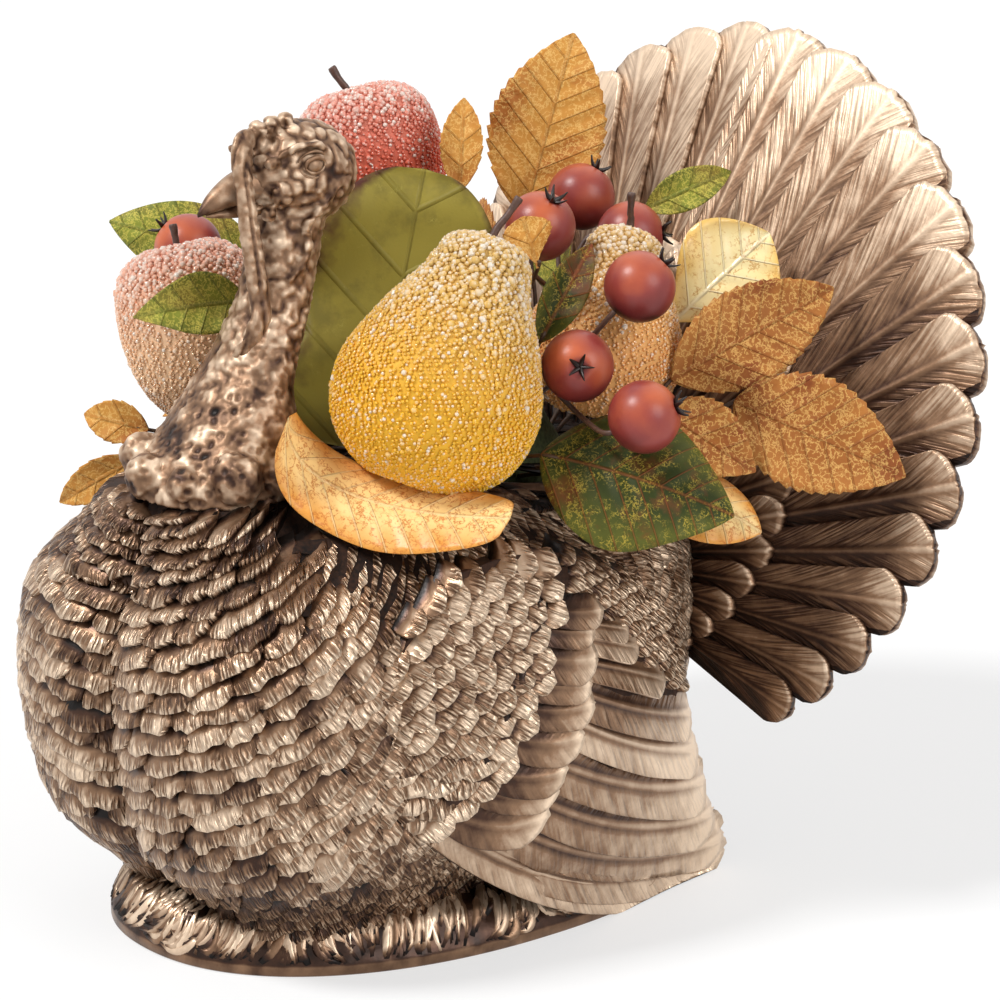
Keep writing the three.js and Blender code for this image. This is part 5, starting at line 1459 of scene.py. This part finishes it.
class TURKEY_OT_stage(bpy.types.Operator):
    """White floor, soft lights and the camera at the photograph's angle"""
    bl_idname = "turkey.stage"
    bl_label = "Stage"

    def execute(self, context):
        scene = context.scene
        self.floor(scene)
        self.room(scene)
        for name, place, strength, spread in LAMPS:
            lamp = bpy.data.lights.new(name, "SUN")
            lamp.energy, lamp.angle = strength, np.radians(spread)
            self.aim(scene, bpy.data.objects.new(name, lamp), TARGET + np.array(place))
        az, el = np.radians(CAMERA_AZIMUTH), np.radians(CAMERA_ELEVATION)
        back = np.array((np.cos(el) * np.sin(az), -np.cos(el) * np.cos(az), np.sin(el)))
        lens = bpy.data.cameras.new("camera")
        lens.lens, lens.sensor_width, lens.clip_start = CAMERA_LENS, CAMERA_SENSOR, 0.05
        held = bpy.data.objects.new("camera", lens)
        self.aim(scene, held, TARGET + CAMERA_AWAY * back)
        scene.camera = held
        scene.view_settings.view_transform = "Standard"
        return {"FINISHED"}

    def floor(self, scene):
        """A sheet of white paper that takes the shadow."""
        mesh = bpy.data.meshes.new("floor")
        corners = [(x * FLOOR_HALF, y * FLOOR_HALF, 0) for x, y in ((-1, -1), (1, -1), (1, 1), (-1, 1))]
        mesh.from_pydata(corners, [], [(0, 1, 2, 3)])
        floor = bpy.data.objects.new("floor", mesh)
        scene.collection.objects.link(floor)
        paper, t = material("white_paper")
        lit = add(t, "BsdfPrincipled", {"Base Color": (0.93, 0.93, 0.93, 1), "Roughness": 0.9,
                                        "Specular IOR Level": 0.1})
        pure = add(t, "Emission", {"Color": (1, 1, 1, 1), "Strength": 1.0})
        glow = add(t, "Math", {0: self.looked_at(t), 1: FLOOR_GLOW}, operation="MULTIPLY")
        add(t, "OutputMaterial", {"Surface": add(t, "MixShader", {0: glow, 1: lit, 2: pure})})
        mesh.materials.append(paper)
        floor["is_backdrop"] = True

    def room(self, scene):
        """White all round where it is seen, and dimmer as a light."""
        scene.world = bpy.data.worlds.new("white_room")
        scene.world.use_nodes = True
        t = scene.world.node_tree
        t.nodes.clear()
        dim = add(t, "Background", {"Color": (1, 1, 1, 1), "Strength": ROOM_LIGHT})
        white = add(t, "Background", {"Color": (1, 1, 1, 1), "Strength": 1.0})
        add(t, "OutputWorld", {"Surface": add(t, "MixShader", {0: self.looked_at(t), 1: dim, 2: white})})

    def looked_at(self, tree):
        """1 on rays from the camera, and on what mirrors and glass pass on, where the white room is seen."""
        ray = add(tree, "LightPath", give="all")
        seen = add(tree, "Math", {0: ray["Is Camera Ray"], 1: ray["Is Glossy Ray"]}, operation="MAXIMUM")
        return add(tree, "Math", {0: seen, 1: ray["Is Transmission Ray"]}, operation="MAXIMUM")

    def aim(self, scene, held, place):
        """Stands a lamp or camera at a place with its -Z axis on the target and +Y upwards."""
        scene.collection.objects.link(held)
        back = unit(place - TARGET)
        right = unit(np.cross((0, 0, 1.0), back))
        turn = np.eye(4)
        turn[:3, :3] = np.stack([right, np.cross(back, right), back], -1)
        turn[:3, 3] = place
        held.matrix_world = Matrix(turn.tolist())


OPERATORS = (TURKEY_OT_base, TURKEY_OT_body, TURKEY_OT_wings, TURKEY_OT_tail, TURKEY_OT_head, TURKEY_OT_fruit,
             TURKEY_OT_berries, TURKEY_OT_leaves, TURKEY_OT_holder, TURKEY_OT_stage)


class TURKEY_PT_panel(bpy.types.Panel):
    """Sizes, colours and the pieces in the order they are made"""
    bl_idname = "TURKEY_PT_panel"
    bl_label = "Thanksgiving turkey"
    bl_space_type = "VIEW_3D"
    bl_region_type = "UI"
    bl_category = "Turkey"

    def draw(self, context):
        for group in (context.scene.turkey_sizes, context.scene.turkey_colours):
            box = self.layout.box()
            for key in group.__annotations__:
                box.prop(group, key)
        for made in OPERATORS:
            self.layout.operator(made.bl_idname)


CLASSES = (TurkeySizes, TurkeyColours, *OPERATORS, TURKEY_PT_panel)


def register():
    for made in CLASSES:
        bpy.utils.register_class(made)
    bpy.types.Scene.turkey_sizes = PointerProperty(type=TurkeySizes)
    bpy.types.Scene.turkey_colours = PointerProperty(type=TurkeyColours)


def unregister():
    del bpy.types.Scene.turkey_colours
    del bpy.types.Scene.turkey_sizes
    for made in reversed(CLASSES):
        bpy.utils.unregister_class(made)


def main():
    register()
    for made in OPERATORS:
        group, name = made.bl_idname.split(".")
        getattr(getattr(bpy.ops, group), name)()
    plain_list = lambda box: [[float(x) for x in corner] for corner in box]
    {"cad": plain_list(CAD_BOX), "visual": plain_list(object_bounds())}


if __name__ == "__main__":
    main()
